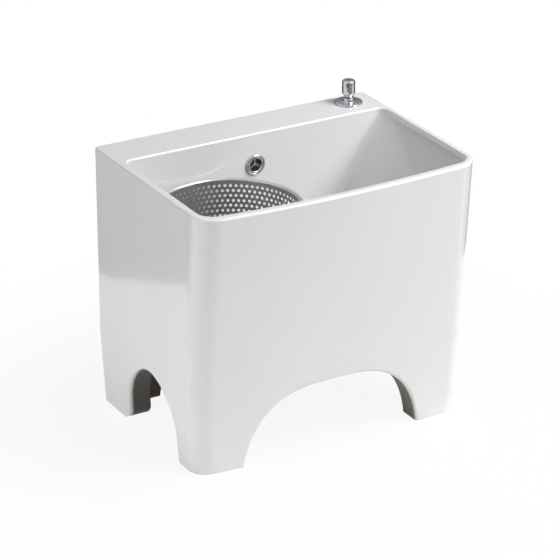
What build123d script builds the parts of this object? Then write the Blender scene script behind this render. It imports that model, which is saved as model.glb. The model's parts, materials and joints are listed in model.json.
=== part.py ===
"""Free-standing ceramic mop sink with a spin basket, a pop-up waste and an overflow.

Sizes are in millimetres. X runs along the front, Y from the front to the wall, Z up.
The origin is on the floor, under the middle of the sink's outline.
"""

import os
from math import atan, atan2, cos, hypot, radians, sin, tan

from build123d import *

os.makedirs("parts", exist_ok=True)

# Outer form of the ceramic body
body_width = 480.0
body_height = 430.0
body_depth = 344.0
front_bow = 13.0
front_bow_floor = 10.0
front_lean_foot = 29.1
front_lean_floor = 37.0
side_taper_floor = 7.0
front_corner_radius = 40.0
front_corner_radius_floor = 31.0
back_corner_radius = 8.0
rim_rounding = 4.0

# Leg arches and the band of thick ceramic round them
leg_wall = 36.0
leg_corner_radius = 30.0
leg_band_below_strap = 2.5
front_foot_width = 87.5
front_arch_height = 116.0
front_arch_shape = ((0.92, 0.385), (0.78, 0.685), (0.49, 0.93))
front_foot_depth = 60.5
back_foot_depth = 91.5
side_arch_height = 117.5
side_arch_shape = ((0.965, 0.38), (0.912, 0.545), (0.806, 0.68), (0.55, 0.86), (0.32, 0.953))
foot_above_arch = 3.0
back_foot_rounding = ((-4.0, 26.0), (5.0, 8.0), (25.0, -2.0))
arch_rounding = 6.0
arch_edge_play = 1.0

# Bay of the sink
left_rim = 13.5
right_rim = 8.5
front_rim = 14.5
ledge_depth = 75.5
bay_floor_height = 220.0
bay_floor_thickness = 15.0
bay_side_draft = 6.0
bay_front_corner_radius = 26.0
bay_back_corner_radius = 14.0
bay_fillet = 12.0
bay_rim_rounding = 3.0
slope_start_below_rim = 7.0
slope_lean = 33.5
hollow_wall = 14.0
ledge_thickness = 12.0

# Fits
snug = 0.05
running = 0.06
seated = 0.02

# Spin basket and its post
basket_side_gap = 4.9
basket_back_gap = 5.4
basket_front_gap = 23.4
basket_bead_radius = 3.2
basket_wall = 1.0
basket_height = 106.0
basket_taper = 13.6
basket_foot_fillet = 8.0
basket_centre_radius = 13.0
wall_hole_radius = 3.4
wall_holes_per_row = 39
wall_hole_rows = 5
wall_hole_row_pitch = 16.8
first_row_below_rim = 17.0
floor_hole_radius = 3.0
floor_hole_count = 36
floor_hole_margin = 16.0

hub_radius = 24.0
hub_flange_past_screws = 7.0
hub_flange_thickness = 6.0
hub_depth = 28.0
bearing_bore_radius = 6.0
bearing_outer_radius = 14.0
bearing_width = 8.0
bearing_ball_radius = 2.3
bearing_ball_count = 8
bearing_lip = 1.5
bearing_land = 1.3

axle_shoulder_step = 2.0
axle_shoulder_length = 10.2
axle_flange_radius = 30.0
axle_flange_thickness = 4.0
axle_flange_chamfer = 1.0
axle_boss_radius = 12.0
axle_boss_height = 7.5
axle_gasket_thickness = 1.5
axle_hole_gap = 1.0
axle_nut_across_flats = 18.0
axle_nut_height = 6.0
axle_washer_radius = 16.0
axle_washer_thickness = 2.0
axle_end_below_nut = 4.0
axle_end_above_nut = 2.0
axle_end_chamfer = 0.8

seat_margin = 25.0
seat_thickness = 4.0
seat_rim_width = 4.0
seat_rim_height = 8.0
seat_lug_count = 6
seat_lug_length = 10.0
seat_lug_width = 6.0
seat_lug_sink = 2.0
seat_hole_margin = 22.0
seat_hole_radius = 4.0
seat_hole_count = 12
seat_screw_past_hub = 1.0
seat_screw_count = 4
seat_screw_radius = 2.0
seat_screw_head_radius = 4.0
seat_screw_head_height = 2.4
seat_screw_head_rounding = 1.2
seat_screw_length = 12.0
hub_cap_radius = 17.0
hub_cap_height = 7.0
hub_cap_wall = 2.0
hub_cap_rounding = 5.6
hub_cap_skirt_below_floor = 5.0

# Pop-up waste
drain_from_slope = 51.137
drain_from_ledge = 73.0
drain_hole_gap = 2.0
drain_collar_wall = 4.0
drain_collar_depth = 30.0
drain_recess_gap = 1.5
drain_recess_depth = 4.0
flange_radius = 33.0
flange_thickness = 3.0
flange_edge_width = 3.0
flange_edge_drop = 1.0
flange_gasket_thickness = 1.5
flange_cup_inset = 0.8
flange_cup_wall = 1.6
flange_cup_depth = 5.5
flange_cup_chamfer = 1.0
flange_neck_gap = 0.1
flange_neck_wall = 2.5
flange_neck_length = 8.0
flange_shoulder_thickness = 2.5
drain_body_radius = 21.0
drain_body_wall = 2.9
drain_body_below_port = 28.0
window_count = 4
window_width = 14.0
window_height = 11.0
window_below_neck = 1.0
collar_gasket_radius = 36.0
collar_gasket_thickness = 4.0
collar_washer_radius = 34.0
collar_washer_thickness = 2.0
collar_nut_radius = 33.0
collar_nut_height = 8.0
collar_nut_sides = 8
tail_radius = 16.0
tail_wall = 1.2
tail_below_body = 58.0
tail_overlap = 12.0
tail_bead_radius = 1.5
tail_bead_below_nut = 4.0
tail_seal_thickness = 3.0
tail_nut_wall = 4.5
tail_nut_height = 15.0
tail_nut_lip = 4.0
tail_nut_sides = 12

# Ball rod, its side port and the stopper
pivot_rod_radius = 2.5
rod_end_chamfer = 0.6
pivot_rod_past_stem = 5.0
pivot_rod_past_strap = 14.0
pivot_ball_radius = 6.5
port_seat_wall = 1.1
port_wall = 2.9
port_throat = 5.0
port_sink = 1.0
port_below_nut = 2.0
port_seat_length = 10.0
pivot_seat_opening = 4.4
port_length = 37.0
pivot_nut_wall = 2.5
pivot_nut_length = 14.0
pivot_nut_lip = 3.5
pivot_nut_opening = 5.5
knob_travel = 30.0
stopper_gap = 0.8
stopper_thickness = 4.0
stopper_rounding = 2.8
stopper_seal_gap = 0.4
stopper_seal_width = 4.2
stopper_seal_thickness = 2.0
stopper_closed_gap = 0.3
stem_radius = 3.0
stem_fin_gap = 0.9
stem_fin_thickness = 1.6
stem_fin_length = 26.0
stem_eye_radius = 7.0
stem_eye_play = 1.7
stem_eye_thickness = 7.0

# Lift knob, rod and strap
knob_from_side = 46.0
knob_from_back = 32.5
knob_radius = 10.5
knob_height = 27.5
knob_taper_height = 4.5
knob_foot_radius = 9.2
knob_gap = 1.5
knob_rounding = 3.0
knob_foot_rounding = 0.6
knob_socket_depth = 16.0
escutcheon_radius = 22.5
escutcheon_thickness = 2.2
escutcheon_rounding = 0.8
escutcheon_collar_radius = 8.8
escutcheon_collar_height = 6.0
escutcheon_rod_gap = 0.5
ledge_gasket_thickness = 0.8
ledge_gasket_inset = 1.0
ledge_hole_gap = 1.2
lift_rod_radius = 2.5
lift_rod_below_strap_block = 8.0
sleeve_wall = 2.5
sleeve_length_below_ledge = 14.0
ledge_washer_radius = 12.0
ledge_washer_thickness = 1.6
ledge_nut_across_flats = 17.0
ledge_nut_height = 6.0
strap_width = 14.0
strap_thickness = 1.6
strap_rod_gap = 0.7
strap_margin = 6.5
strap_hole_play = 2.0
strap_hole_pitch = 12.0
strap_hole_count = 5
strap_height = 92.0
strap_block_height = 16.0
strap_block_width = 12.0
strap_block_past_rod = 5.0
strap_screw_radius = 2.0
strap_screw_head_radius = 5.5
strap_screw_head_thickness = 4.0
strap_screw_shank = 4.0
strap_screw_head_sides = 12
clip_play = 2.2
clip_thickness = 0.6
clip_height = 8.0
clip_reach = 11.0

# Overflow
overflow_x = 0.0
overflow_below_rim = 51.0
overflow_hole_gap = 0.6
overflow_ring_radius = 16.5
overflow_neck_wall = 2.6
overflow_ring_stand = 3.6
overflow_lip_rounding = 1.5
overflow_neck_radius = 12.6
overflow_neck_length = 10.0
overflow_gasket_thickness = 0.8
overflow_gasket_inset = 0.6
overflow_bar_width = 2.4
overflow_bar_thickness = 1.6
overflow_bar_recess = 4.5
overflow_bar_sink = 0.5
overflow_bar_count = 3
overflow_hub_radius = 2.6
duct_width = 44.0
duct_depth = 14.0
duct_wall = 12.0
duct_sink = 2.0
duct_above_hole = 16.0

# Places worked out from the sizes above
back_y = (body_depth + front_bow) / 2
front_y = back_y - body_depth
ledge_front_y = back_y - ledge_depth
bay_front_y = front_y + front_rim
bay_left_x = left_rim - body_width / 2
bay_right_x = body_width / 2 - right_rim
slope_top = body_height - slope_start_below_rim
foot_height = max(front_arch_height, side_arch_height) + foot_above_arch
front_arch_half_width = body_width / 2 - front_foot_width
side_arch_half_width = (body_depth - front_lean_floor - front_foot_depth - back_foot_depth) / 2
side_arch_y = back_y - back_foot_depth - side_arch_half_width
floor_underside = bay_floor_height - bay_floor_thickness
collar_underside = floor_underside - drain_collar_depth
over = 5.0
tilt_play = 0.1


def at_height(height, floor_value, foot_value, rim_value):
    """A size that changes evenly from floor to foot and from foot to rim."""
    if height <= foot_height:
        return floor_value + (foot_value - floor_value) * height / foot_height
    rise = (height - foot_height) / (body_height - foot_height)
    return foot_value + (rim_value - foot_value) * rise


def bowed_outline(height, left, right, back, front, bow, front_radius, back_radius):
    """A level outline with a straight back and sides and a bowed front."""
    with BuildSketch(Plane.XY.offset(height)) as outline:
        with BuildLine():
            Line((left, back), (right, back))
            Line((right, back), (right, front))
            ThreePointArc((right, front), ((left + right) / 2, front - bow), (left, front))
            Line((left, front), (left, back))
        make_face()
        fillet(outline.vertices().group_by(Axis.Y)[0], front_radius)
        fillet(outline.vertices().group_by(Axis.Y)[-1], back_radius)
    return outline.sketch


def body_outline(height, inset=0.0):
    """The body's outer outline at one height, drawn in by a wall's thickness."""
    half_width = at_height(height, body_width / 2 - side_taper_floor, body_width / 2, body_width / 2)
    front = front_y + at_height(height, front_lean_floor, front_lean_foot, 0)
    share = height / body_height
    bow = front_bow_floor + (front_bow - front_bow_floor) * share
    front_radius = front_corner_radius_floor + (front_corner_radius - front_corner_radius_floor) * share
    back_radius = back_corner_radius
    if inset:
        front_radius = leg_corner_radius
        back_radius = leg_corner_radius
    return bowed_outline(
        height, inset - half_width, half_width - inset, back_y - inset, front + inset,
        bow, front_radius, back_radius,
    )


def bay_outline(height, draft):
    """The bay's outline at one height, with its sides drawn in by their draft."""
    front = front_y + at_height(height, front_lean_floor, front_lean_foot, 0) + front_rim
    return bowed_outline(
        height, bay_left_x + draft, bay_right_x - draft, ledge_front_y, front, front_bow,
        bay_front_corner_radius, bay_back_corner_radius,
    )


def slope_x(height):
    """Where the bay's sloped right side stands at one height."""
    return bay_right_x - (slope_top - height) * tan(radians(slope_lean))


def arch_opening(plane, half_width, height, shape):
    """What a leg arch takes out of the body, from side to side, as a piece to be cut away."""
    rising = [(-across * half_width, up * height) for across, up in shape]
    falling = [(across * half_width, up * height) for across, up in reversed(shape)]
    with BuildPart() as opening:
        with BuildSketch(plane):
            with BuildLine():
                arch = Spline((-half_width, 0), *rising, (0, height), *falling, (half_width, 0))
                Line(arch @ 1, arch @ 0)
            make_face()
        extrude(amount=body_width, both=True)
    return opening.part


def side_plane(x, y):
    """The upright plane through a vertical axis, for half sections of turned pieces."""
    return Plane(origin=(x, y, 0), x_dir=(1, 0, 0), z_dir=(0, -1, 0))


# Where the basket, the waste, the knob and the overflow stand in the body
basket_rim_radius = (ledge_front_y - basket_back_gap - bay_front_y - basket_front_gap) / 2
basket_x = bay_left_x + basket_side_gap + basket_rim_radius
basket_y = ledge_front_y - basket_back_gap - basket_rim_radius
drain_x = slope_x(bay_floor_height) - drain_from_slope
drain_y = ledge_front_y - drain_from_ledge
knob_x = body_width / 2 - knob_from_side
knob_y = back_y - knob_from_back
overflow_height = body_height - overflow_below_rim

# Planes and axes that the pieces are placed by
basket_axis = Axis((basket_x, basket_y, 0), (0, 0, 1))
basket_side = side_plane(basket_x, basket_y)
drain_axis = Axis((drain_x, drain_y, 0), (0, 0, 1))
drain_side = side_plane(drain_x, drain_y)
knob_axis = Axis((knob_x, knob_y, 0), (0, 0, 1))
knob_side = side_plane(knob_x, knob_y)


def basket_level(height):
    return Plane((basket_x, basket_y, height))


def drain_level(height):
    return Plane((drain_x, drain_y, height))


def knob_level(height):
    return Plane((knob_x, knob_y, height))


def overflow_plane(y):
    """An upright plane across the overflow's axis, looking at the bay."""
    return Plane(origin=(overflow_x, y, overflow_height), x_dir=(1, 0, 0), z_dir=(0, -1, 0))


# Radii that follow from what the pieces fit into
basket_foot_radius = basket_rim_radius - basket_taper
floor_hole_circle = basket_foot_radius - floor_hole_margin
seat_radius = basket_foot_radius - seat_margin
seat_hole_circle = seat_radius - seat_hole_margin
seat_screw_circle = hub_radius + seat_screw_radius + seat_screw_past_hub
hub_flange_radius = seat_screw_circle + hub_flange_past_screws
bearing_pitch_radius = (bearing_bore_radius + bearing_outer_radius) / 2
axle_shoulder_radius = bearing_bore_radius + axle_shoulder_step
axle_hole_radius = bearing_bore_radius + axle_hole_gap
drain_bore = drain_body_radius - drain_body_wall
drain_hole_radius = drain_body_radius + drain_hole_gap
drain_collar_radius = collar_gasket_radius + drain_collar_wall
drain_recess_radius = flange_radius + drain_recess_gap
flange_cup_radius = drain_body_radius - flange_cup_inset
flange_cup_bore = flange_cup_radius - flange_cup_wall
flange_neck_radius = drain_bore - flange_neck_gap
flange_neck_bore = flange_neck_radius - flange_neck_wall
tail_nut_radius = drain_body_radius + tail_nut_wall
port_bore = pivot_ball_radius + port_seat_wall
port_radius = port_bore + port_wall
pivot_nut_across_flats = 2 * (port_radius + pivot_nut_wall)
stopper_radius = flange_cup_bore - stopper_gap
stopper_seal_radius = flange_cup_bore - stopper_seal_gap
stopper_seal_bore = stopper_seal_radius - stopper_seal_width
stem_fin_radius = flange_neck_bore - stem_fin_gap
stem_eye_hole = pivot_rod_radius + stem_eye_play
strap_hole_radius = pivot_rod_radius + strap_hole_play
strap_stand_off = lift_rod_radius + strap_thickness / 2 + strap_rod_gap
clip_gap = strap_thickness / 2 + clip_play
sleeve_radius = lift_rod_radius + sleeve_wall
ledge_hole_radius = sleeve_radius + ledge_hole_gap
overflow_hole_radius = overflow_neck_radius + overflow_hole_gap
overflow_ring_bore = overflow_neck_radius - overflow_neck_wall

# The pivot rod's line, from the waste to the lift rod
pivot_reach = port_length - port_seat_length / 2
rod_angle = atan2(knob_y - drain_y, knob_x - drain_x)
rod_run = hypot(knob_x - drain_x, knob_y - drain_y)
strap_reach = rod_run - strap_stand_off
strap_arm = strap_reach - pivot_reach
rod_tilt = atan(knob_travel / 2 / strap_arm)
stopper_travel = 2 * pivot_reach * tan(rod_tilt)


def rod_plane(reach, height):
    """A plane square to the pivot rod's line, its X sideways and its Y up."""
    return Plane(
        origin=(drain_x + reach * cos(rod_angle), drain_y + reach * sin(rod_angle), height),
        x_dir=(-sin(rod_angle), cos(rod_angle), 0),
        z_dir=(cos(rod_angle), sin(rod_angle), 0),
    )


def tilted_rod_plane(reach):
    """A plane square to the pivot rod itself as it lies at rest, knob down."""
    height = pivot_height - (reach - pivot_reach) * tan(rod_tilt)
    return Plane(
        origin=(drain_x + reach * cos(rod_angle), drain_y + reach * sin(rod_angle), height),
        x_dir=(-sin(rod_angle), cos(rod_angle), 0),
        z_dir=(cos(rod_angle) * cos(rod_tilt), sin(rod_angle) * cos(rod_tilt), -sin(rod_tilt)),
    )


# Heights of the stacked pieces, from the floor of the bay down and up
recess_floor = bay_floor_height - drain_recess_depth
flange_underside = recess_floor + flange_gasket_thickness
flange_top = flange_underside + flange_thickness
cup_underside = flange_underside - flange_cup_depth
cup_floor = cup_underside + flange_shoulder_thickness
neck_end = cup_underside - flange_neck_length
window_top = neck_end - window_below_neck
window_bottom = window_top - window_height
collar_gasket_low = collar_underside - collar_gasket_thickness
collar_washer_low = collar_gasket_low - collar_washer_thickness
collar_nut_low = collar_washer_low - collar_nut_height
pivot_height = collar_nut_low - port_below_nut - pivot_nut_across_flats / 2
drain_body_end = pivot_height - drain_body_below_port
tail_end = drain_body_end - tail_below_body
seal_closed = cup_floor + stopper_closed_gap
seal_low = seal_closed + stopper_travel
cap_low = seal_low + stopper_seal_thickness
eye_height = pivot_height + pivot_reach * tan(rod_tilt)
strap_hole_height = pivot_height - strap_arm * tan(rod_tilt)
strap_low = strap_hole_height - strap_margin
leg_band_height = strap_low - leg_band_below_strap
strap_top = strap_low + strap_height
strap_block_low = strap_top - strap_block_height
lift_rod_end = strap_block_low - lift_rod_below_strap_block

plate_low = body_height + ledge_gasket_thickness
plate_top = plate_low + escutcheon_thickness
collar_top = plate_top + escutcheon_collar_height
knob_low = collar_top + knob_gap
knob_top = knob_low + knob_height
ledge_underside = body_height - ledge_thickness
ledge_washer_low = ledge_underside - ledge_washer_thickness
ledge_nut_low = ledge_washer_low - ledge_nut_height
sleeve_end = ledge_underside - sleeve_length_below_ledge
sleeve_top = plate_top + escutcheon_collar_height / 2

post_plate_low = bay_floor_height + axle_gasket_thickness
post_plate_top = post_plate_low + axle_flange_thickness
post_boss_top = post_plate_top + axle_boss_height
bearing_low = post_boss_top + axle_shoulder_length
bearing_top = bearing_low + bearing_width
hub_low = bearing_low - bearing_lip
basket_floor = hub_low + hub_depth
basket_rim_height = basket_floor + basket_height
axle_washer_low = floor_underside - axle_washer_thickness
axle_base_nut_low = axle_washer_low - axle_nut_height
axle_end = axle_base_nut_low - axle_end_below_nut
axle_top = bearing_top + axle_nut_height + axle_end_above_nut
seat_low = basket_floor + basket_wall
seat_top = seat_low + seat_thickness

# The bay as a solid, to be cut from the body
with BuildPart() as bay:
    loft(sections=[bay_outline(bay_floor_height, bay_side_draft), bay_outline(body_height, 0)], ruled=True)
    with BuildSketch(Plane.XZ):
        with BuildLine():
            Polyline(
                (bay_right_x + over, slope_top),
                (slope_x(slope_top), slope_top),
                (slope_x(bay_floor_height - over), bay_floor_height - over),
                (bay_right_x + over, bay_floor_height - over),
                close=True,
            )
        make_face()
    extrude(amount=body_depth, both=True, mode=Mode.SUBTRACT)
    bay_floor = bay.faces().sort_by(Axis.Z)[0]
    flat_faces = bay.faces().filter_by(GeomType.PLANE)
    bay_slope = flat_faces.filter_by(lambda face: tilt_play < -face.normal_at().Z < 1 - tilt_play)[0]
    fillet(set(bay_floor.edges() + bay_slope.edges()), bay_fillet)

# The hollow under the ledge and behind the slope, clear of the bay's own walls
with BuildPart() as hollow:
    loft(
        sections=[body_outline(leg_band_height, hollow_wall), body_outline(ledge_underside, hollow_wall)],
        ruled=True,
    )
    slope_wall = hollow_wall / cos(radians(slope_lean))
    meeting_height = slope_top + (body_width / 2 - bay_right_x - slope_wall) / tan(radians(slope_lean))
    with BuildSketch(Plane.XZ.offset(-ledge_front_y - hollow_wall)):
        with BuildLine():
            Polyline(
                (-body_width, floor_underside),
                (slope_x(floor_underside) + slope_wall, floor_underside),
                (body_width / 2, meeting_height),
                (body_width / 2, body_height),
                (-body_width, body_height),
                close=True,
            )
        make_face()
    extrude(amount=2 * body_depth, mode=Mode.SUBTRACT)

# The arches under the body, to be cut from it: front to back, and side to side
front_arch = arch_opening(Plane.XZ, front_arch_half_width, front_arch_height, front_arch_shape)
side_arch_plane = Plane.YZ.shift_origin((0, side_arch_y, 0))
side_arch = arch_opening(side_arch_plane, side_arch_half_width, side_arch_height, side_arch_shape)

# Ceramic body: shell, bay, ledge, four feet, cast overflow duct and waste collar
with BuildPart() as basin_body:
    loft(sections=[body_outline(foot_height), body_outline(body_height)], ruled=True)
    fillet(basin_body.faces().sort_by(Axis.Z)[-1].edges(), rim_rounding)
    loft(sections=[body_outline(0), body_outline(foot_height)], ruled=True)
    loft(
        sections=[body_outline(0, leg_wall), body_outline(foot_height, leg_wall)],
        ruled=True,
        mode=Mode.SUBTRACT,
    )
    loft(
        sections=[body_outline(foot_height, leg_wall), body_outline(leg_band_height, leg_wall)],
        ruled=True,
        mode=Mode.SUBTRACT,
    )
    add(hollow.part, mode=Mode.SUBTRACT)
    add(bay.part, mode=Mode.SUBTRACT)
    rim_loops = basin_body.faces().sort_by(Axis.Z)[-1].inner_wires()
    fillet(rim_loops[0].edges(), bay_rim_rounding)
    add(front_arch, mode=Mode.SUBTRACT)
    add(side_arch, mode=Mode.SUBTRACT)
    # Soft edges round the arches, on the outside
    arch_edges = []
    for edge in basin_body.edges():
        box = edge.bounding_box()
        middle = box.center()
        on_front = middle.Y < front_y + front_lean_floor
        on_back = middle.Y > back_y - leg_wall / 2
        on_side = abs(middle.X) > body_width / 2 - leg_wall / 2
        if on_front or on_back:
            arch_top = front_arch_height
        elif on_side:
            arch_top = side_arch_height
        else:
            continue
        if abs(box.max.Z - arch_top) < arch_edge_play and box.min.Z < arch_edge_play:
            arch_edges.append(edge)
    fillet(arch_edges, arch_rounding)
    # Rounded ends of the back feet, towards the side arches
    with BuildSketch(Plane.YZ.shift_origin((0, side_arch_y + side_arch_half_width, 0))):
        with BuildLine():
            ThreePointArc(*back_foot_rounding)
            Polyline(
                back_foot_rounding[0],
                (back_foot_rounding[0][0], back_foot_rounding[-1][1]),
                back_foot_rounding[-1],
            )
        make_face()
    extrude(amount=body_width, both=True, mode=Mode.SUBTRACT)
    # Cast duct from the overflow down the back of the bay and under its floor
    duct_low = floor_underside - duct_depth
    duct_outer_low = duct_low - duct_wall
    duct_top = overflow_height + duct_above_hole
    duct_front_y = ledge_front_y + hollow_wall
    duct_back_y = duct_front_y + duct_depth
    duct_end_y = duct_back_y - duct_width / 2
    duct_mid = ((overflow_x + drain_x) / 2, (duct_end_y + drain_y) / 2)
    with BuildSketch(Plane.XY.offset(duct_outer_low)):
        SlotCenterPoint(duct_mid, (drain_x, drain_y), duct_width + 2 * duct_wall)
    extrude(amount=floor_underside - duct_outer_low)
    with BuildSketch(Plane.XY.offset(duct_outer_low)):
        with Locations((overflow_x, duct_front_y - duct_sink)):
            duct_outer_depth = duct_sink + duct_depth + duct_wall
            Rectangle(duct_width + 2 * duct_wall, duct_outer_depth, align=(Align.CENTER, Align.MIN))
    extrude(amount=duct_top + duct_wall - duct_outer_low)
    with BuildSketch(Plane.XY.offset(collar_underside)):
        with Locations((drain_x, drain_y)):
            Circle(drain_collar_radius)
    extrude(amount=drain_collar_depth)
    with BuildSketch(Plane.XY.offset(duct_low)):
        SlotCenterPoint(duct_mid, (drain_x, drain_y), duct_width)
    extrude(amount=duct_depth, mode=Mode.SUBTRACT)
    with BuildSketch(Plane.XY.offset(duct_low)):
        with Locations((overflow_x, duct_front_y + duct_depth / 2)):
            Rectangle(duct_width, duct_depth)
    extrude(amount=duct_top - duct_low, mode=Mode.SUBTRACT)
    # Holes for the waste, the overflow, the post and the lift rod
    with BuildSketch(drain_level(collar_underside)):
        Circle(drain_hole_radius)
    extrude(amount=bay_floor_height - collar_underside, mode=Mode.SUBTRACT)
    with BuildSketch(drain_level(recess_floor)):
        Circle(drain_recess_radius)
    extrude(amount=drain_recess_depth + over, mode=Mode.SUBTRACT)
    with BuildSketch(overflow_plane(ledge_front_y - over)):
        Circle(overflow_hole_radius)
    extrude(amount=-hollow_wall - 2 * over, mode=Mode.SUBTRACT)
    with BuildSketch(basket_level(floor_underside)):
        Circle(axle_hole_radius)
    extrude(amount=bay_floor_thickness, mode=Mode.SUBTRACT)
    with BuildSketch(knob_level(ledge_underside)):
        Circle(ledge_hole_radius)
    extrude(amount=ledge_thickness, mode=Mode.SUBTRACT)
basin_body.part.label = "basin_body"
export_step(basin_body.part, "parts/basin_body.step")

# Spin basket: pressed stainless bowl with a wired rim and a perforated wall
bead_height = basket_rim_height - basket_bead_radius
bead_centre = basket_rim_radius - basket_bead_radius
wall_top_radius = basket_rim_radius - 2 * basket_bead_radius + basket_wall
with BuildPart() as basket_shell:
    with BuildSketch(basket_side):
        with BuildLine():
            wall_line = FilletPolyline(
                (basket_centre_radius, basket_floor),
                (basket_foot_radius, basket_floor),
                (wall_top_radius, bead_height),
                radius=basket_foot_fillet,
            )
            offset(wall_line, amount=basket_wall, side=Side.LEFT)
        make_face()
        with Locations((bead_centre, bead_height)):
            Circle(basket_bead_radius)
    revolve(axis=basket_axis)
    wall_slope = (wall_top_radius - basket_foot_radius) / (bead_height - basket_floor)
    wall_holes = []
    for row in range(wall_hole_rows):
        height = basket_rim_height - first_row_below_rim - row * wall_hole_row_pitch
        radius = basket_foot_radius + (height - basket_floor) * wall_slope
        for place in range(wall_holes_per_row):
            turn = 360 / wall_holes_per_row * (place + 0.5 * (row % 2))
            drill = Plane(
                origin=(
                    basket_x + (radius - over) * cos(radians(turn)),
                    basket_y + (radius - over) * sin(radians(turn)),
                    height,
                ),
                z_dir=(cos(radians(turn)), sin(radians(turn)), 0),
            )
            wall_holes.append(
                drill * Cylinder(
                    wall_hole_radius,
                    2 * over,
                    align=(Align.CENTER, Align.CENTER, Align.MIN),
                    mode=Mode.PRIVATE,
                )
            )
    add(wall_holes, mode=Mode.SUBTRACT)
    with BuildSketch(basket_level(basket_floor)):
        with PolarLocations(floor_hole_circle, floor_hole_count):
            Circle(floor_hole_radius)
        with PolarLocations(seat_screw_circle, seat_screw_count):
            Circle(seat_screw_radius + snug)
    extrude(amount=basket_wall, mode=Mode.SUBTRACT)
basket_shell.part.label = "basket_shell"
export_step(basket_shell.part, "parts/basket_shell.step")

# Plastic seat for the mop head, with drain holes and locating lugs round its rim
with BuildPart() as mop_seat:
    with BuildSketch(basket_level(seat_low)):
        Circle(seat_radius)
        Circle(basket_centre_radius, mode=Mode.SUBTRACT)
        with PolarLocations(seat_screw_circle, seat_screw_count):
            Circle(seat_screw_radius + snug, mode=Mode.SUBTRACT)
        with PolarLocations(seat_hole_circle, seat_hole_count):
            Circle(seat_hole_radius, mode=Mode.SUBTRACT)
    extrude(amount=seat_thickness)
    with BuildSketch(basket_level(seat_low)):
        Circle(seat_radius)
        Circle(seat_radius - seat_rim_width, mode=Mode.SUBTRACT)
    extrude(amount=seat_thickness + seat_rim_height)
    with BuildSketch(basket_level(seat_top)):
        with PolarLocations(seat_radius - seat_rim_width - seat_lug_length / 2, seat_lug_count):
            Rectangle(seat_lug_length + seat_lug_sink, seat_lug_width)
    extrude(amount=seat_rim_height / 2)
mop_seat.part.label = "mop_seat"
export_step(mop_seat.part, "parts/mop_seat.step")

# Screws through seat, basket and hub
with BuildPart() as seat_screws:
    with BuildSketch(basket_level(seat_top)):
        with PolarLocations(seat_screw_circle, seat_screw_count):
            Circle(seat_screw_head_radius)
    extrude(amount=seat_screw_head_height)
    fillet(seat_screws.edges().group_by(Axis.Z)[-1], seat_screw_head_rounding)
    with BuildSketch(basket_level(seat_top)):
        with PolarLocations(seat_screw_circle, seat_screw_count):
            Circle(seat_screw_radius)
    extrude(amount=-seat_screw_length)
seat_screws.part.label = "seat_screws"
export_step(seat_screws.part, "parts/seat_screws.step")

# Hub under the basket, bored for the bearing
with BuildPart() as basket_hub:
    with BuildSketch(basket_level(hub_low)):
        Circle(hub_radius)
    extrude(amount=hub_depth)
    with BuildSketch(basket_level(basket_floor)):
        Circle(hub_flange_radius)
    extrude(amount=-hub_flange_thickness)
    with BuildSketch(basket_level(hub_low)):
        Circle(bearing_outer_radius - bearing_lip)
    extrude(amount=bearing_lip, mode=Mode.SUBTRACT)
    with BuildSketch(basket_level(bearing_low)):
        Circle(bearing_outer_radius + seated)
    extrude(amount=hub_depth - bearing_lip, mode=Mode.SUBTRACT)
    with BuildSketch(basket_level(basket_floor)):
        with PolarLocations(seat_screw_circle, seat_screw_count):
            Circle(seat_screw_radius + snug)
    extrude(amount=-hub_flange_thickness, mode=Mode.SUBTRACT)
basket_hub.part.label = "basket_hub"
export_step(basket_hub.part, "parts/basket_hub.step")

# Ball bearing: two grooved rings and their balls
ball_height = bearing_low + bearing_width / 2
groove_radius = bearing_ball_radius + running
with BuildPart() as bearing_outer_ring:
    with BuildSketch(basket_side):
        with Locations((bearing_outer_radius, bearing_low)):
            ring_width = bearing_outer_radius - bearing_pitch_radius - bearing_land
            Rectangle(ring_width, bearing_width, align=(Align.MAX, Align.MIN))
        with Locations((bearing_pitch_radius, ball_height)):
            Circle(groove_radius, mode=Mode.SUBTRACT)
    revolve(axis=basket_axis)
bearing_outer_ring.part.label = "bearing_outer_ring"
export_step(bearing_outer_ring.part, "parts/bearing_outer_ring.step")

with BuildPart() as bearing_inner_ring:
    with BuildSketch(basket_side):
        with Locations((bearing_bore_radius + seated, bearing_low)):
            ring_width = bearing_pitch_radius - bearing_land - bearing_bore_radius - seated
            Rectangle(ring_width, bearing_width, align=(Align.MIN, Align.MIN))
        with Locations((bearing_pitch_radius, ball_height)):
            Circle(groove_radius, mode=Mode.SUBTRACT)
    revolve(axis=basket_axis)
bearing_inner_ring.part.label = "bearing_inner_ring"
export_step(bearing_inner_ring.part, "parts/bearing_inner_ring.step")

with BuildPart() as bearing_balls:
    with Locations(basket_level(ball_height)):
        with PolarLocations(bearing_pitch_radius, bearing_ball_count):
            Sphere(bearing_ball_radius)
bearing_balls.part.label = "bearing_balls"
export_step(bearing_balls.part, "parts/bearing_balls.step")

# Cap over the end of the post, pressed into the seat
with BuildPart() as hub_cap:
    cap_skirt = seat_thickness + basket_wall + hub_cap_skirt_below_floor
    with BuildSketch(basket_level(seat_top)):
        Circle(hub_cap_radius)
    extrude(amount=hub_cap_height)
    fillet(hub_cap.edges().group_by(Axis.Z)[-1], hub_cap_rounding)
    with BuildSketch(basket_level(seat_top)):
        Circle(basket_centre_radius - snug)
        Circle(basket_centre_radius - snug - hub_cap_wall, mode=Mode.SUBTRACT)
    extrude(amount=-cap_skirt)
hub_cap.part.label = "hub_cap"
export_step(hub_cap.part, "parts/hub_cap.step")

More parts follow.
